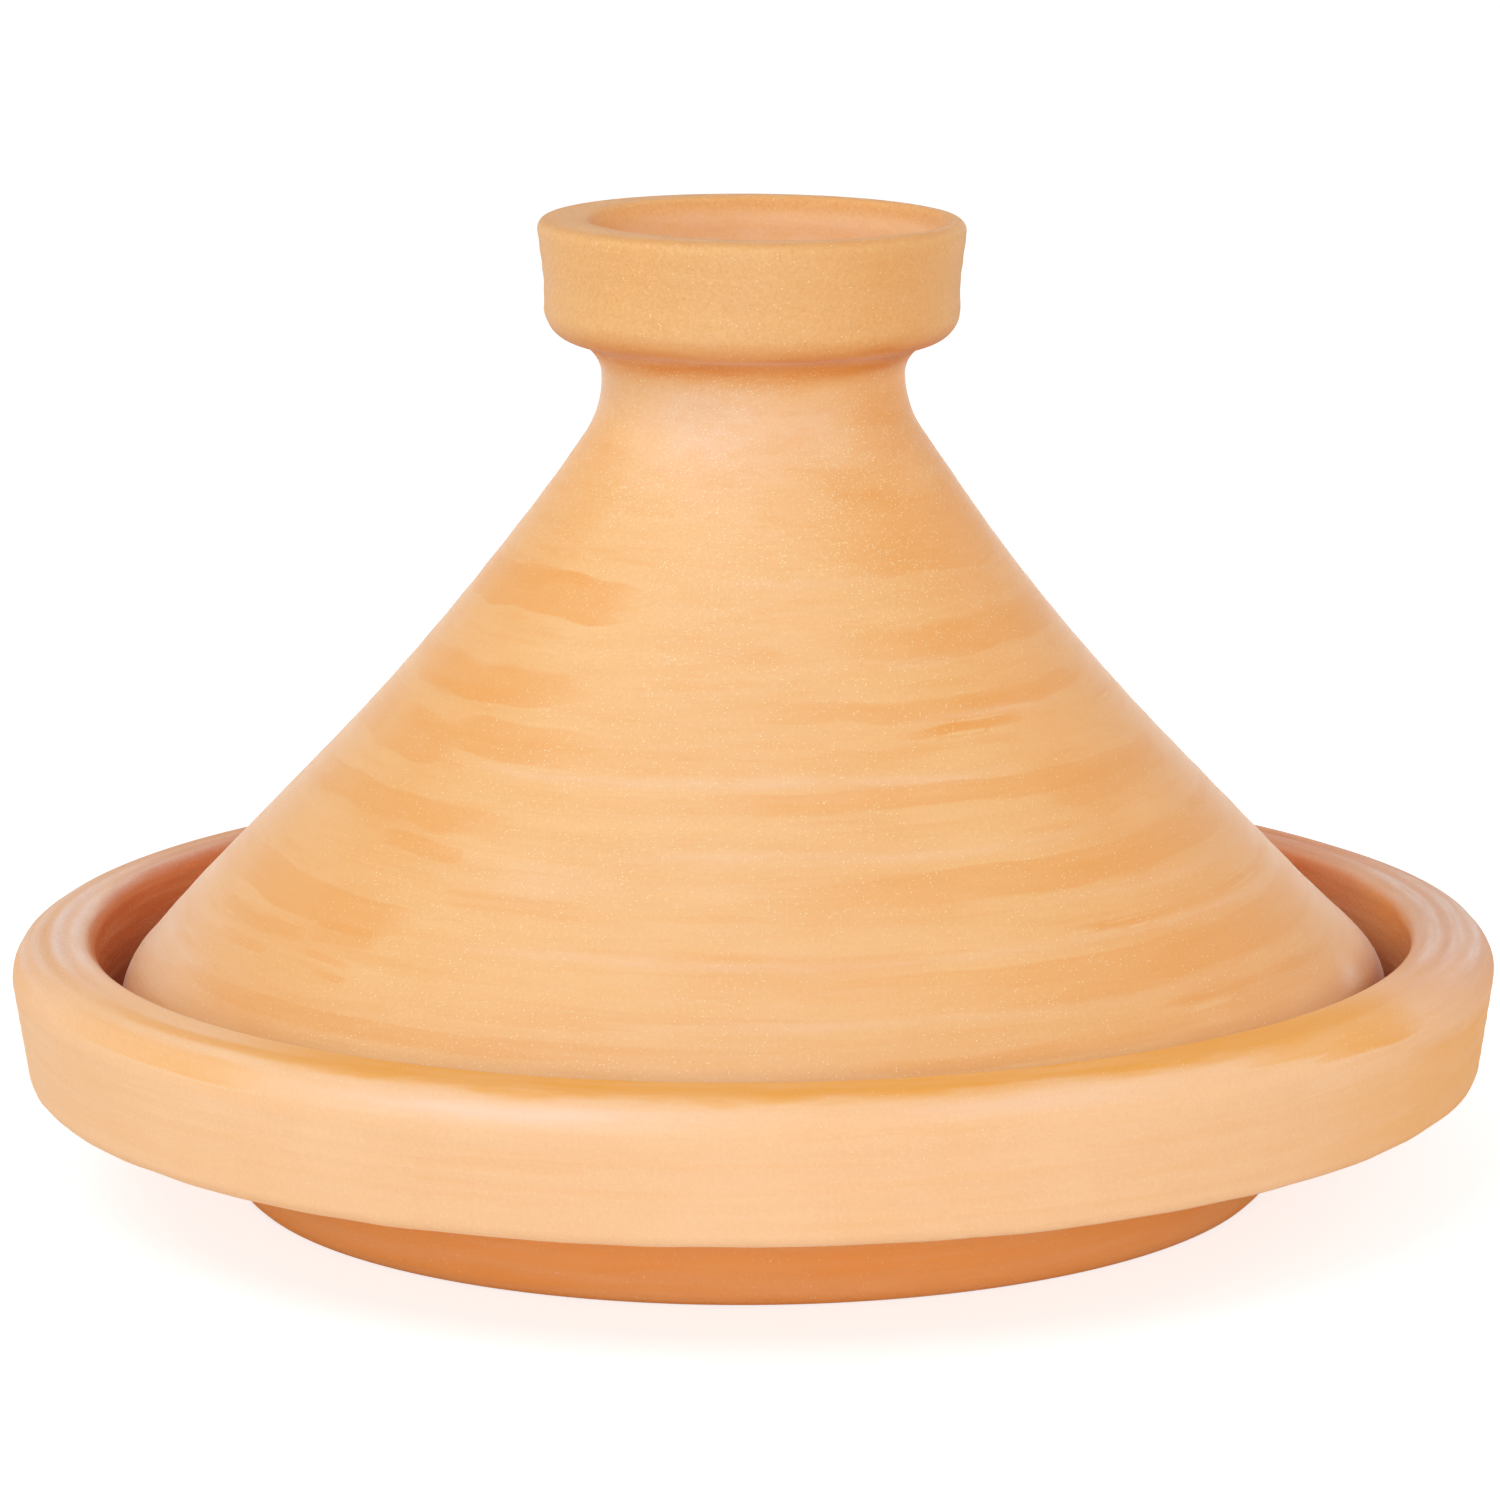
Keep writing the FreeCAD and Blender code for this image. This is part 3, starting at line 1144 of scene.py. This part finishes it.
    @staticmethod
    def strokes() -> list[Stroke]:
        """List the strokes of slip on the rim and the band.

        Returns:
            The strokes; their level is the way outwards from the rim's inner edge.
        """
        return [
            Stroke(0, -4.0, 14.5, -50.0, 68.0, 0.95, (1.0, 5.0), (20.0, 20.0), sway=0.18),
            Stroke(1, 6.6, 12.0, -66.0, -24.0, 0.6, (1.6, 2.0), (14.0, 16.0), sway=0.25),
            Stroke(2, 12.6, 18.7, -68.0, -36.0, 0.45, (1.6, 0.5), (18.0, 8.0), sway=0.25),
            Stroke(1, 2.0, 13.4, 29.0, 63.0, 0.5, (3.0, 1.2), (14.0, 8.0), sway=0.3),
            Stroke(1, 8.0, 16.4, 36.0, 61.0, 0.65, (2.0, 1.0), (7.0, 6.0), sway=0.3),
            Stroke(1, 11.0, 18.8, 43.0, 61.0, 0.75, (2.0, 0.7), (7.0, 6.0), sway=0.25),
            Stroke(2, -3.0, 5.0, -38.0, 16.0, 0.22, (1.0, 5.0), (12.0, 12.0), sway=0.2),
            Stroke(0, 1.0, 20.0, 146.0, 200.0, 0.5, (2.0, 0.9), (20.0, 24.0), sway=0.6),
            Stroke(1, 5.0, 22.0, 176.0, 218.0, 0.5, (3.0, 0.9), (20.0, 16.0), sway=0.6),
            Stroke(2, 20.0, 47.0, 36.0, 130.0, 0.6, (5.0, 6.0), (36.0, 30.0)),
        ]

    def dress(self, piece: bpy.types.Object, groups: ClayGroups) -> None:
        """Give the dish its clay and its place in the part.

        Args:
            piece: The dish.
            groups: The shared node groups.
        """
        piece.data.materials.append(self.finish.material(groups))
        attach(piece, Body.DISH.value)
        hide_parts("base_dish")


@dataclass
class Lid:
    """The cone-shaped lid: foot ring, shoulder, cone, neck and cup knob, hollow up to the neck.

    Sizes are in millimetres, leans in degrees, unevenness is a share of the radius, and throwing ridges
    are given by their height and their pitch.
    """

    finish: ClayFinish
    sides: int = 180
    hollow_top: float = 161.0
    hollow_top_radius: float = 22.5
    hollow_top_round: float = 16.0
    hollow_middle_radius: float = 48.0
    hollow_middle_level: float = 113.0
    hollow_bend: float = 300.0
    hollow_foot_level: float = 39.5
    hollow_foot_round: float = 8.0
    foot_level: float = 32.0
    foot_radius: float = 128.55
    foot_round: float = 4.0
    foot_inner_round: float = 2.4
    wall: float = 8.0
    shoulder_level: float = 42.5
    shoulder_round: float = 14.0
    middle_radius: float = 58.6
    middle_level: float = 115.45
    cone_bend: float = 477.0
    neck_radius: float = 30.4
    neck_level: float = 156.9
    neck_round: float = 21.0
    crease_level: float = 169.3
    crease_round: float = 7.2
    knob_radius: float = 41.7
    knob_bottom: float = 171.7
    knob_round: float = 6.6
    waist_inset: float = 0.2
    waist_level: float = 182.0
    waist_bend: float = 30.0
    lip_radius: float = 43.1
    lip_round: float = 2.2
    top: float = 194.8
    cup_radius: float = 36.2
    cup_edge_round: float = 1.0
    cup_taper: float = 2.6
    cup_floor: float = 177.0
    cup_floor_round: float = 8.0
    cup_offset: float = 3.4
    unevenness: float = 0.0006
    cone_ridges: tuple[float, float] = (0.04, 9.0)
    hollow_ridges: tuple[float, float] = (0.4, 7.5)
    knob_ridges: tuple[float, float] = (0.06, 4.0)
    cup_ridges: tuple[float, float] = (0.15, 5.0)
    lean: float = 0.4
    lean_level: float = 90.0
    knob_lean: float = 0.45
    neck_sway: float = 0.6

    def section(self) -> Section:
        """Lay out the half section of the lid.

        Returns:
            The section, from the top of the hollow round to the middle of the cup.
        """
        foot_inner = self.foot_radius - self.wall
        section = Section()
        section.corner(0.0, self.hollow_top)
        section.corner(self.hollow_top_radius, self.hollow_top, self.hollow_top_round, step=2.0)
        section.corner(self.hollow_middle_radius, self.hollow_middle_level, self.hollow_bend, step=1.7)
        section.corner(foot_inner, self.hollow_foot_level, self.hollow_foot_round, step=1.7)
        section.corner(foot_inner, self.foot_level, self.foot_inner_round, step=1.0)
        section.corner(self.foot_radius, self.foot_level, self.foot_round, step=0.8)
        section.corner(self.foot_radius, self.shoulder_level, self.shoulder_round, step=0.7)
        section.corner(self.middle_radius, self.middle_level, self.cone_bend, step=0.95)
        section.corner(self.neck_radius, self.neck_level, self.neck_round, step=0.95)
        section.corner(self.neck_radius, self.crease_level, self.crease_round, step=0.6)
        section.corner(self.knob_radius, self.knob_bottom, self.knob_round, step=0.5)
        section.corner(self.knob_radius - self.waist_inset, self.waist_level, self.waist_bend, step=0.6)
        section.corner(self.lip_radius, self.top, self.lip_round, step=0.5)
        section.corner(self.cup_radius, self.top, self.cup_edge_round, step=0.45)
        section.corner(self.cup_radius - self.cup_taper, self.cup_floor, self.cup_floor_round, step=0.6)
        section.corner(0.0, self.cup_floor, step=1.2)
        return section

    def build(self) -> bpy.types.Object:
        """Make the lid's mesh.

        Returns:
            The lid.
        """
        surface = ThrownSurface(self.section(), self.sides)
        foot_in = surface.near(self.foot_radius - self.wall, self.foot_level)
        foot_out = surface.near(self.foot_radius, self.foot_level)
        neck = surface.near(self.neck_radius, self.neck_level)
        crease = surface.near(self.neck_radius, self.crease_level)
        knob = surface.near(self.knob_radius, self.knob_bottom)
        lip = surface.near(self.lip_radius, self.top)
        cup = surface.near(self.cup_radius, self.top)
        end = float(surface.along[-1, 0])
        beyond_end = end + 1.0    # far enough past the end for no weight to fade there
        turn = surface.turn

        surface.wobble(self.unevenness, seed=31)
        surface.throw(surface.between(foot_out + 6.0 * MM, neck, 8.0 * MM), *self.cone_ridges, seed=41)
        surface.throw(surface.between(12.0 * MM, foot_in - 4.0 * MM, 6.0 * MM), *self.hollow_ridges, seed=42)
        surface.throw(surface.between(knob, lip, 3.0 * MM), *self.knob_ridges, seed=43)
        surface.throw(surface.between(cup, end - 6.0 * MM, 3.0 * MM), *self.cup_ridges, seed=44)

        # The cup is off centre, the neck sways, and the lid leans to the right, its knob a little more.
        outside = smooth_step(surface.along, foot_out, foot_out + 1.0 * MM)
        inside_cup = smooth_step(surface.along, lip, cup + 1.0 * MM)
        off_centre = inside_cup * smooth_step(surface.radius, 0.0, 0.6 * self.cup_radius * MM)
        above_seat = smooth_step(surface.height, 42.0 * MM, 60.0 * MM) * outside
        tilt = math.tan(math.radians(self.lean)) * above_seat
        leaning = tilt * (surface.height - self.lean_level * MM)
        sway = self.neck_sway * MM * hump(surface.height, 148.0 * MM, 17.0 * MM) * outside
        surface.shift_x = self.cup_offset * MM * off_centre + leaning + sway
        high = smooth_step(surface.height, 150.0 * MM, self.top * MM) * outside
        tilt = tilt + math.tan(math.radians(self.knob_lean)) * high
        surface.shift_z = -tilt * surface.radius * np.sin(turn)

        # Painted shade darkens the groove under the knob, which is gritty bare clay, the lip's flat top and
        # the cup's left wall; a dark gritty line of bare clay runs along the cup's near edge, and bare clay
        # shows faintly on the knob's own wall.
        right = smooth_step(turn, -0.6, 0.5) * (1.0 - smooth_step(turn, 2.0, 3.1))
        groove_shade = surface.between(crease - 2.0 * MM, knob, 3.4 * MM) * (0.8 + 0.1 * right)
        knob_wall = surface.between(crease, lip, 3.0 * MM)
        ruddy = 0.06 + 0.15 * hump(turn, 0.8, 0.36) + 0.05 * hump(turn, -0.85, 0.25)
        near_side = smooth_step(np.cos(turn), -0.2, 0.5)
        lip_shade_and_grit = 0.34 * surface.between(lip, cup, 1.0 * MM)
        lip_shade_and_grit = lip_shade_and_grit + 0.5 * near_side * hump(surface.along, cup, 1.0 * MM)
        in_cup = surface.between(cup + 3.0 * MM, beyond_end, 2.0 * MM)
        cup_left_shade = in_cup * hump(turn, -1.5, 0.6) * smooth_step(surface.radius, 18.0 * MM, 31.0 * MM)
        bare = groove_shade + ruddy * knob_wall + lip_shade_and_grit + 0.5 * cup_left_shade

        # Red-brown clay shows in the hollow, and low on the right as painted shade; the knob is gritty, the
        # cup is lightened with painted light, and the knob's front is a little paler.
        hollow = 1.0 - smooth_step(surface.along, foot_out - 3.0 * MM, foot_out)
        low = 1.0 - smooth_step(surface.height, 44.0 * MM, 51.0 * MM)
        low_right_shade = hump(turn, 1.5, 0.4) * low * outside
        knob_all = surface.between(crease, beyond_end, 3.0 * MM)
        lightened = 0.1 * hump(turn, 0.0, 0.4) * knob_wall + 0.45 * (in_cup - cup_left_shade)

        # Slip ends below the groove, and the mica's painted glints show most on the upper part of the front,
        # where the light catches them.
        level = surface.height / MM
        brushed = outside * (1.0 - smooth_step(surface.along, crease - 4.0 * MM, crease))
        glint_share = 0.3 + 0.7 * smooth_step(level, 105.0, 160.0)
        glint_share = glint_share * (1.0 - 0.6 * smooth_step(np.abs(turn), 0.4, 1.2))
        marks = {
            Mark.THROWN: surface.thrown(),
            **slip_layers(surface, self.strokes(), level, brushed),
            Mark.BLOOM_AND_PAINTED_SHINE: self.bloom(turn, level) * outside * (1.0 - groove_shade) + lightened,
            Mark.BARE_AND_PAINTED_LIGHT: np.clip(bare, 0.0, 1.0),
            Mark.RED_BROWN_AND_SHADE: 0.8 * hollow + 0.8 * low_right_shade,
            Mark.GRIT: np.clip(0.9 * knob_all - 0.5 * in_cup + 0.7 * hollow, 0.0, 1.0),
            Mark.MICA_GLINT: glint_share * (1.0 - 0.85 * knob_all),
        }
        return surface.mesh("clay_lid", marks)

    @staticmethod
    def bloom(turn: np.ndarray, level: np.ndarray) -> np.ndarray:
        """Pale bloom: painted highlights on neck and front, painted reflections on the sides, chalky lines,
        a scuff.

        Args:
            turn: Turns of the surface's points.
            level: Heights of the points, in millimetres.

        Returns:
            Cover of the bloom, 0 to 1.
        """
        # Painted highlights and reflections on the neck.
        neck = [
            Patch(0.6, -0.38, 0.42, 157.0, 10.0),
            Patch(0.32, 0.4, 0.3, 156.0, 7.0),
            Patch(0.5, -1.45, 0.3, 162.0, 7.0),
            Patch(0.15, -0.3, 0.8, 161.0, 5.0),
        ]
        # The first patch is painted light on the low left of the cone.
        left = [Patch(0.42, -1.35, 0.25, 52.0, 8.0), Patch(0.16, -0.44, 0.2, 79.0, 5.0)]
        lines = [
            ChalkLine(0.272, 95.4, -0.84, 0.77),
            ChalkLine(0.221, 104.6, 0.31, 1.08),
            ChalkLine(0.17, 105.6, -0.73, -0.38),
            ChalkLine(0.204, 83.2, -0.38, 0.91),
            ChalkLine(0.204, 115.0, 0.28, 0.84),
            ChalkLine(0.187, 66.6, -0.7, 1.54),
            ChalkLine(0.136, 73.4, 0.45, 1.4),
            ChalkLine(0.136, 56.8, -0.35, 1.05),
            ChalkLine(0.136, 129.6, -0.17, 0.7),
        ]
        # The paler front is a painted highlight, and the pale strips down the two sides are painted
        # reflections.
        front = 0.2 * hump(turn, -0.05, 0.45) * (1.0 - smooth_step(level, 150.0, 168.0))
        sides = 0.28 * hump(turn, -1.6, 0.26) + 0.36 * hump(turn, 1.6, 0.28)
        sides = sides * (1.0 - smooth_step(level, 110.0, 165.0))
        scuff_level = 48.0
        slanting = turn - 0.012 * (level - scuff_level)
        scuff = 0.55 * hump(level, scuff_level, 2.4) * hump(slanting, 1.29, 0.05)
        cover = front + sides + scuff
        for part in neck + left + lines:
            cover = cover + part.cover(turn, level)
        return np.clip(cover, 0.0, 1.0)

    @staticmethod
    def strokes() -> list[Stroke]:
        """List the strokes of slip on the cone: the front's listed one by one, the back's by a seeded draw.

        Returns:
            The strokes; their level is the height above the table.
        """
        left = [
            Stroke(0, 120.8, 129.2, -82.0, -21.0, 0.58, (0.4, 0.6), (16.0, 14.0)),
            Stroke(1, 125.6, 129.2, -64.0, -33.0, 0.33, (2.0, 0.5)),
            Stroke(0, 105.5, 113.0, -90.0, -27.0, 0.53, (0.4, 1.6), (25.0, 14.0)),
            Stroke(1, 105.4, 109.0, -70.0, -38.0, 0.28, (0.4, 1.5)),
            Stroke(1, 93.6, 102.4, -76.0, -48.0, 0.46, (0.4, 2.0), (12.0, 5.0)),
            Stroke(0, 96.0, 103.0, -54.0, -18.0, 0.5, (0.5, 0.6), (6.0, 20.0)),
            Stroke(0, 83.0, 88.6, -98.0, -28.0, 0.53, (1.2, 0.4), (28.0, 16.0)),
            Stroke(1, 79.6, 82.8, -53.0, -36.0, 0.5, (0.4, 0.4), (4.0, 3.0), sway=0.6),
            Stroke(0, 65.6, 72.2, -88.0, -37.0, 0.5, (0.5, 0.4), (22.0, 8.0)),
            Stroke(1, 63.0, 66.8, -54.0, -41.0, 0.41, (0.4, 0.8), (4.0, 3.0)),
            Stroke(2, 62.0, 64.8, -77.0, -50.0, 0.59, (0.4, 0.5), (6.0, 5.0)),
            Stroke(0, 60.4, 62.0, -53.0, -43.0, 0.38, (0.3, 0.3), (3.0, 3.0)),
            Stroke(1, 57.4, 59.0, -49.0, -42.0, 0.41, (0.3, 0.3), (2.0, 2.0)),
            Stroke(0, 57.8, 60.0, -70.0, -55.0, 0.38, (0.4, 0.4), (5.0, 4.0)),
            Stroke(0, 50.0, 53.6, -71.0, 8.0, 0.41, (1.0, 0.4), (2.0, 50.0), sway=0.2),
            Stroke(2, 71.0, 75.2, -39.0, -6.0, 0.2, (1.5, 0.5), (3.0, 20.0)),
            Stroke(2, 131.9, 132.6, -78.0, -28.0, 0.48, (0.4, 0.4), (10.0, 14.0)),
        ]
        behind_left = [
            Stroke(0, 120.8, 129.0, -134.0, -66.0, 0.5, (0.5, 0.8), (46.0, 14.0)),
            Stroke(0, 105.5, 113.0, -156.0, -74.0, 0.48, (0.5, 1.6), (52.0, 16.0)),
            Stroke(1, 94.0, 101.6, -122.0, -64.0, 0.42, (0.5, 1.8), (40.0, 12.0)),
            Stroke(0, 83.0, 88.6, -168.0, -80.0, 0.5, (1.2, 0.5), (60.0, 20.0)),
            Stroke(0, 65.6, 72.0, -146.0, -70.0, 0.46, (0.5, 0.6), (48.0, 18.0)),
            Stroke(1, 53.0, 60.0, -128.0, -66.0, 0.4, (1.6, 0.6), (40.0, 14.0)),
        ]
        right = [
            Stroke(0, 114.6, 122.0, 14.0, 118.0, 0.56, (0.5, 1.8), (26.0, 30.0)),
            Stroke(0, 104.8, 109.0, -14.0, 78.0, 0.46, (0.5, 0.8), (36.0, 12.0)),
            Stroke(1, 105.6, 108.6, 30.0, 72.0, 0.33, (0.5, 1.0), (10.0, 8.0)),
            Stroke(2, 101.8, 103.8, 20.0, 56.0, 0.77, (0.4, 0.6), (12.0, 14.0)),
            Stroke(0, 90.2, 94.4, -18.0, 84.0, 0.46, (0.8, 0.4), (28.0, 6.0), sway=0.3),
            Stroke(1, 87.6, 93.4, 42.0, 82.0, 0.46, (0.6, 1.5), (6.0, 6.0)),
            Stroke(2, 84.0, 88.0, 40.0, 80.0, 0.52, (1.5, 1.5), (12.0, 12.0)),
            Stroke(0, 75.0, 81.0, -8.0, 97.0, 0.46, (0.8, 0.4), (52.0, 30.0), sway=0.3),
            Stroke(1, 75.4, 79.6, 34.0, 66.0, 0.29, (0.6, 1.5), (8.0, 8.0)),
            Stroke(2, 68.0, 69.6, 33.0, 108.0, 0.73, (0.4, 0.5), (8.0, 30.0), 1.6, 0.25),
            Stroke(0, 57.0, 65.0, 6.0, 126.0, 0.42, (2.0, 0.4), (34.0, 30.0), sway=0.3),
            Stroke(1, 57.4, 63.5, 40.0, 72.0, 0.29, (1.5, 1.5), (10.0, 10.0)),
            Stroke(2, 52.6, 55.0, 38.0, 80.0, 0.68, (1.2, 0.3), (8.0, 12.0), sway=0.25),
            Stroke(1, 49.0, 52.0, 6.0, 44.0, 0.37, (0.5, 1.2), (10.0, 10.0), sway=0.2),
            Stroke(2, 101.0, 102.2, 60.0, 96.0, 0.76, (0.3, 0.4), (16.0, 4.0), -1.0, 0.15),
            Stroke(2, 80.2, 82.6, 64.0, 114.0, 0.76, (0.5, 0.4), (10.0, 12.0), sway=0.3),
            Stroke(0, 143.0, 150.0, 18.0, 42.0, 0.33, (1.5, 1.5), (8.0, 8.0)),
            Stroke(1, 129.0, 146.0, 10.0, 92.0, 0.44, (0.5, 4.0), (30.0, 20.0)),
            Stroke(1, 155.0, 160.0, 34.0, 84.0, 0.37, (2.0, 2.0), (16.0, 12.0)),
        ]
        washes = [
            Stroke(2, 30.0, 180.0, 28.0, 128.0, 0.44, (20.0, 20.0), (28.0, 56.0)),
            Stroke(2, 30.0, 165.0, -118.0, -36.0, 0.28, (20.0, 20.0), (44.0, 18.0)),
        ]
        middle = [
            Stroke(1, 114.8, 119.0, -10.0, 8.0, 0.25, (1.5, 1.5)),
            Stroke(2, 96.0, 101.5, -28.0, 34.0, 0.15, (1.5, 1.0), (14.0, 14.0)),
            Stroke(2, 60.5, 69.0, -14.0, 20.0, 0.2, (1.5, 1.0), (10.0, 10.0)),
            Stroke(2, 71.0, 79.5, -2.0, 30.0, 0.22, (2.0, 1.0), (10.0, 8.0)),
        ]
        rng = np.random.default_rng(7)
        back = []
        for number, level in enumerate(np.arange(49.0, 152.0, 5.2)):
            start = float(rng.uniform(86.0, 180.0))
            length = float(rng.uniform(40.0, 86.0))
            width = float(rng.uniform(2.0, 7.5))
            blur = float(rng.uniform(0.6, 2.0))
            soft = (0.4, blur) if number % 2 else (blur, 0.4)
            depth = float(rng.uniform(0.3, 0.7))
            layer = number % SLIP_LAYERS
            high, end = level + width, start + length
            back.append(Stroke(layer, level, high, start, end, depth, soft, (18.0, 18.0)))
        return left + behind_left + right + washes + middle + back

    def dress(self, piece: bpy.types.Object, groups: ClayGroups) -> None:
        """Give the lid its clay and its place in the part.

        Args:
            piece: The lid.
            groups: The shared node groups.
        """
        piece.data.materials.append(self.finish.material(groups))
        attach(piece, Body.LID.value)
        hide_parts("lid")


@dataclass
class Lamp:
    """A soft square lamp that looks at the pot.

    Attributes:
        name: Name of the lamp.
        turn: Direction that it shines from, in degrees from the front.
        rise: Angle above the horizon that it shines from, in degrees.
        distance: Distance from the pot, in metres.
        size: Side of the lamp, in metres.
        share: Brightness that it gives to a white face turned to it.
        tint: Colour of its light.
    """

    name: str
    turn: float
    rise: float
    distance: float
    size: float
    share: float
    tint: tuple[float, float, float] = (1.0, 1.0, 1.0)

    def light(self, target: Vector) -> None:
        """Hang the lamp. A square lamp of power P gives a white face at distance d about P / (pi d)^2.

        Args:
            target: Place that the lamp looks at.
        """
        data = bpy.data.lights.new(self.name, "AREA")
        data.shape = "SQUARE"
        data.size = self.size
        data.energy = self.share * (math.pi * self.distance) ** 2
        data.color = self.tint
        lamp = bpy.data.objects.new(self.name, data)
        turn, rise = math.radians(self.turn), math.radians(self.rise)
        way = Vector((math.sin(turn) * math.cos(rise), -math.cos(turn) * math.cos(rise), math.sin(rise)))
        lamp.location = target + way * self.distance
        lamp.rotation_euler = way.to_track_quat("Z", "Y").to_euler()
        bpy.context.scene.collection.objects.link(lamp)


@dataclass
class Studio:
    """Pale floor, soft light and the camera.

    Attributes:
        floor_half: Half the side of the floor, in metres.
        floor_colour: Colour of the floor for the light that it throws back.
        floor_seen: Colour of the floor for what the camera sees of its light and shadow.
        floor_glow: Brightness that is added to what the camera sees of the floor.
        sky: Brightness of the even light all round.
        target_height: Height that the lamps look at, in metres.
        camera_place: Place of the camera, in metres.
        camera_dip: Angle that the camera looks down, in degrees.
        camera_roll: Turn of the camera about its own axis, in degrees.
        focal_pixels: Focal length, in pixels of the photograph.
        image_pixels: Side of the photograph, in pixels.
        sensor: Side of the camera's sensor, in millimetres.
    """

    floor_half: float = 6.0
    floor_colour: Colour = (0.94, 0.94, 0.94, 1.0)
    floor_seen: Colour = (0.5, 0.52, 0.53, 1.0)
    floor_glow: float = 0.74
    sky: float = 0.47
    target_height: float = 0.09
    camera_place: tuple[float, float, float] = (-0.0004, -1.330, 0.356)
    camera_dip: float = 11.45
    camera_roll: float = -0.4
    focal_pixels: float = 6707.0
    image_pixels: float = 1500.0
    sensor: float = 36.0

    def build(self) -> None:
        """Set up floor, sky, lamps and camera."""
        self._floor()
        self._sky()
        target = Vector((0.0, 0.0, self.target_height))
        for lamp in (
            Lamp("left", -86.0, 50.0, 2.2, 1.0, 0.17),
            Lamp("top", -22.0, 53.0, 2.2, 1.0, 0.16),
            Lamp("front", 0.0, 10.0, 3.0, 0.8, 0.27),
            Lamp("right", 66.0, 26.0, 2.2, 1.2, 0.09, (1.0, 0.66, 0.44)),
            Lamp("back_left", -104.0, 14.0, 2.2, 0.8, 0.09),
            Lamp("back_right", 116.0, 26.0, 2.2, 0.8, 0.1),
        ):
            lamp.light(target)
        self._camera()
        bpy.context.scene.view_settings.view_transform = "Standard"

    def _floor(self) -> None:
        """Lay a flat pale floor that looks white to the camera, apart from the pot's shadow."""
        half = self.floor_half
        corners = np.array([[-1, -1, 0], [1, -1, 0], [1, 1, 0], [-1, 1, 0]]) * half
        mesh = bpy.data.meshes.new("floor")
        mesh.from_pydata(corners.tolist(), [], [[0, 1, 2, 3]])
        floor = bpy.data.objects.new("floor", mesh)
        bpy.context.scene.collection.objects.link(floor)
        paint = bpy.data.materials.new("floor")
        paint.use_nodes = True
        paint.node_tree.nodes.clear()
        wiring = Wiring(paint.node_tree)
        seen = self._seen(wiring)
        matt = wiring.node("ShaderNodeBsdfDiffuse")
        wiring.feed(matt.inputs["Color"], wiring.mix(seen, self.floor_colour, self.floor_seen))
        glow = wiring.node("ShaderNodeEmission")
        wiring.feed(glow.inputs["Strength"], wiring.math("MULTIPLY", seen, self.floor_glow))
        both = wiring.node("ShaderNodeAddShader")
        wiring.feed(both.inputs[0], matt.outputs[0])
        wiring.feed(both.inputs[1], glow.outputs[0])
        out = wiring.node("ShaderNodeOutputMaterial")
        wiring.feed(out.inputs["Surface"], both.outputs[0])
        mesh.materials.append(paint)

    @staticmethod
    def _seen(wiring: Wiring) -> Socket:
        """Tell rays from the camera, mirrored rays and rays through glass from the others.

        Args:
            wiring: Wiring of the floor or the sky.

        Returns:
            Socket with 1 for such a ray, and 0 for any other.
        """
        path = wiring.node("ShaderNodeLightPath")
        seen = wiring.math("MAXIMUM", path.outputs["Is Camera Ray"], path.outputs["Is Glossy Ray"])
        return wiring.math("MAXIMUM", seen, path.outputs["Is Transmission Ray"])

    def _sky(self) -> None:
        """Surround the pot with even white light, and show the camera plain white."""
        world = bpy.data.worlds.new("studio")
        bpy.context.scene.world = world
        world.use_nodes = True
        world.node_tree.nodes.clear()
        wiring = Wiring(world.node_tree)
        around = wiring.node("ShaderNodeBackground")
        around.inputs["Color"].default_value = (1.0, 1.0, 1.0, 1.0)
        wiring.feed(
            around.inputs["Strength"],
            wiring.math("ADD", wiring.math("MULTIPLY", self._seen(wiring), 1.0 - self.sky), self.sky),
        )
        out = wiring.node("ShaderNodeOutputWorld")
        wiring.feed(out.inputs["Surface"], around.outputs[0])

    def _camera(self) -> None:
        """Place the camera at the photograph's viewing angle."""
        data = bpy.data.cameras.new("camera")
        data.sensor_width = self.sensor
        data.lens = self.focal_pixels / self.image_pixels * self.sensor
        data.clip_end = 50.0
        camera = bpy.data.objects.new("camera", data)
        camera.location = self.camera_place
        angles = (math.radians(90.0 - self.camera_dip), 0.0, math.radians(self.camera_roll))
        camera.rotation_euler = Euler(angles, "ZYX").to_matrix().to_euler()
        bpy.context.scene.collection.objects.link(camera)
        bpy.context.scene.camera = camera


# In the lid, bare and inside also give painted shade, and the bloom colour painted highlights and
# reflections.
LID_CLAY = ClayFinish(
    slot=Slot.LID_CLAY,
    light=linear(245, 195, 135),
    deep=linear(239, 183, 118),
    slip=linear(236, 162, 80),
    bare=linear(220, 137, 52),
    inside=linear(196, 108, 56),
    chalk_and_shine=linear(247, 213, 186),
    mica=linear(255, 244, 202),
)
# In the dish, bare also gives painted bounce light and painted light, inside partly painted shade, and the
# bloom colour only painted shine.
DISH_CLAY = ClayFinish(
    slot=Slot.DISH_CLAY,
    light=linear(251, 206, 160),
    deep=linear(246, 194, 143),
    slip=linear(242, 172, 82),
    bare=linear(250, 170, 92),
    inside=linear(212, 122, 76),
    chalk_and_shine=linear(250, 222, 208),
    mica=linear(255, 228, 198),
    mica_share=0.08,
    lines=1100.0,
    line_height=0.00004,
    line_tone=0.3,
    streaks=0.08,
    roughness=0.7,
    gloss=0.25,
    sheen=0.0,
)


def main() -> None:
    """Build the dish, the lid and the studio, and report each piece."""
    logging.basicConfig(level=logging.INFO, format="%(name)s: %(message)s")
    groups = ClayGroups()
    for maker in (BaseDish(DISH_CLAY), Lid(LID_CLAY)):
        piece = maker.build()
        maker.dress(piece, groups)
        LOG.info("%s: %d faces", piece.name, len(piece.data.polygons))
    Studio().build()


if __name__ == "__main__":
    main()
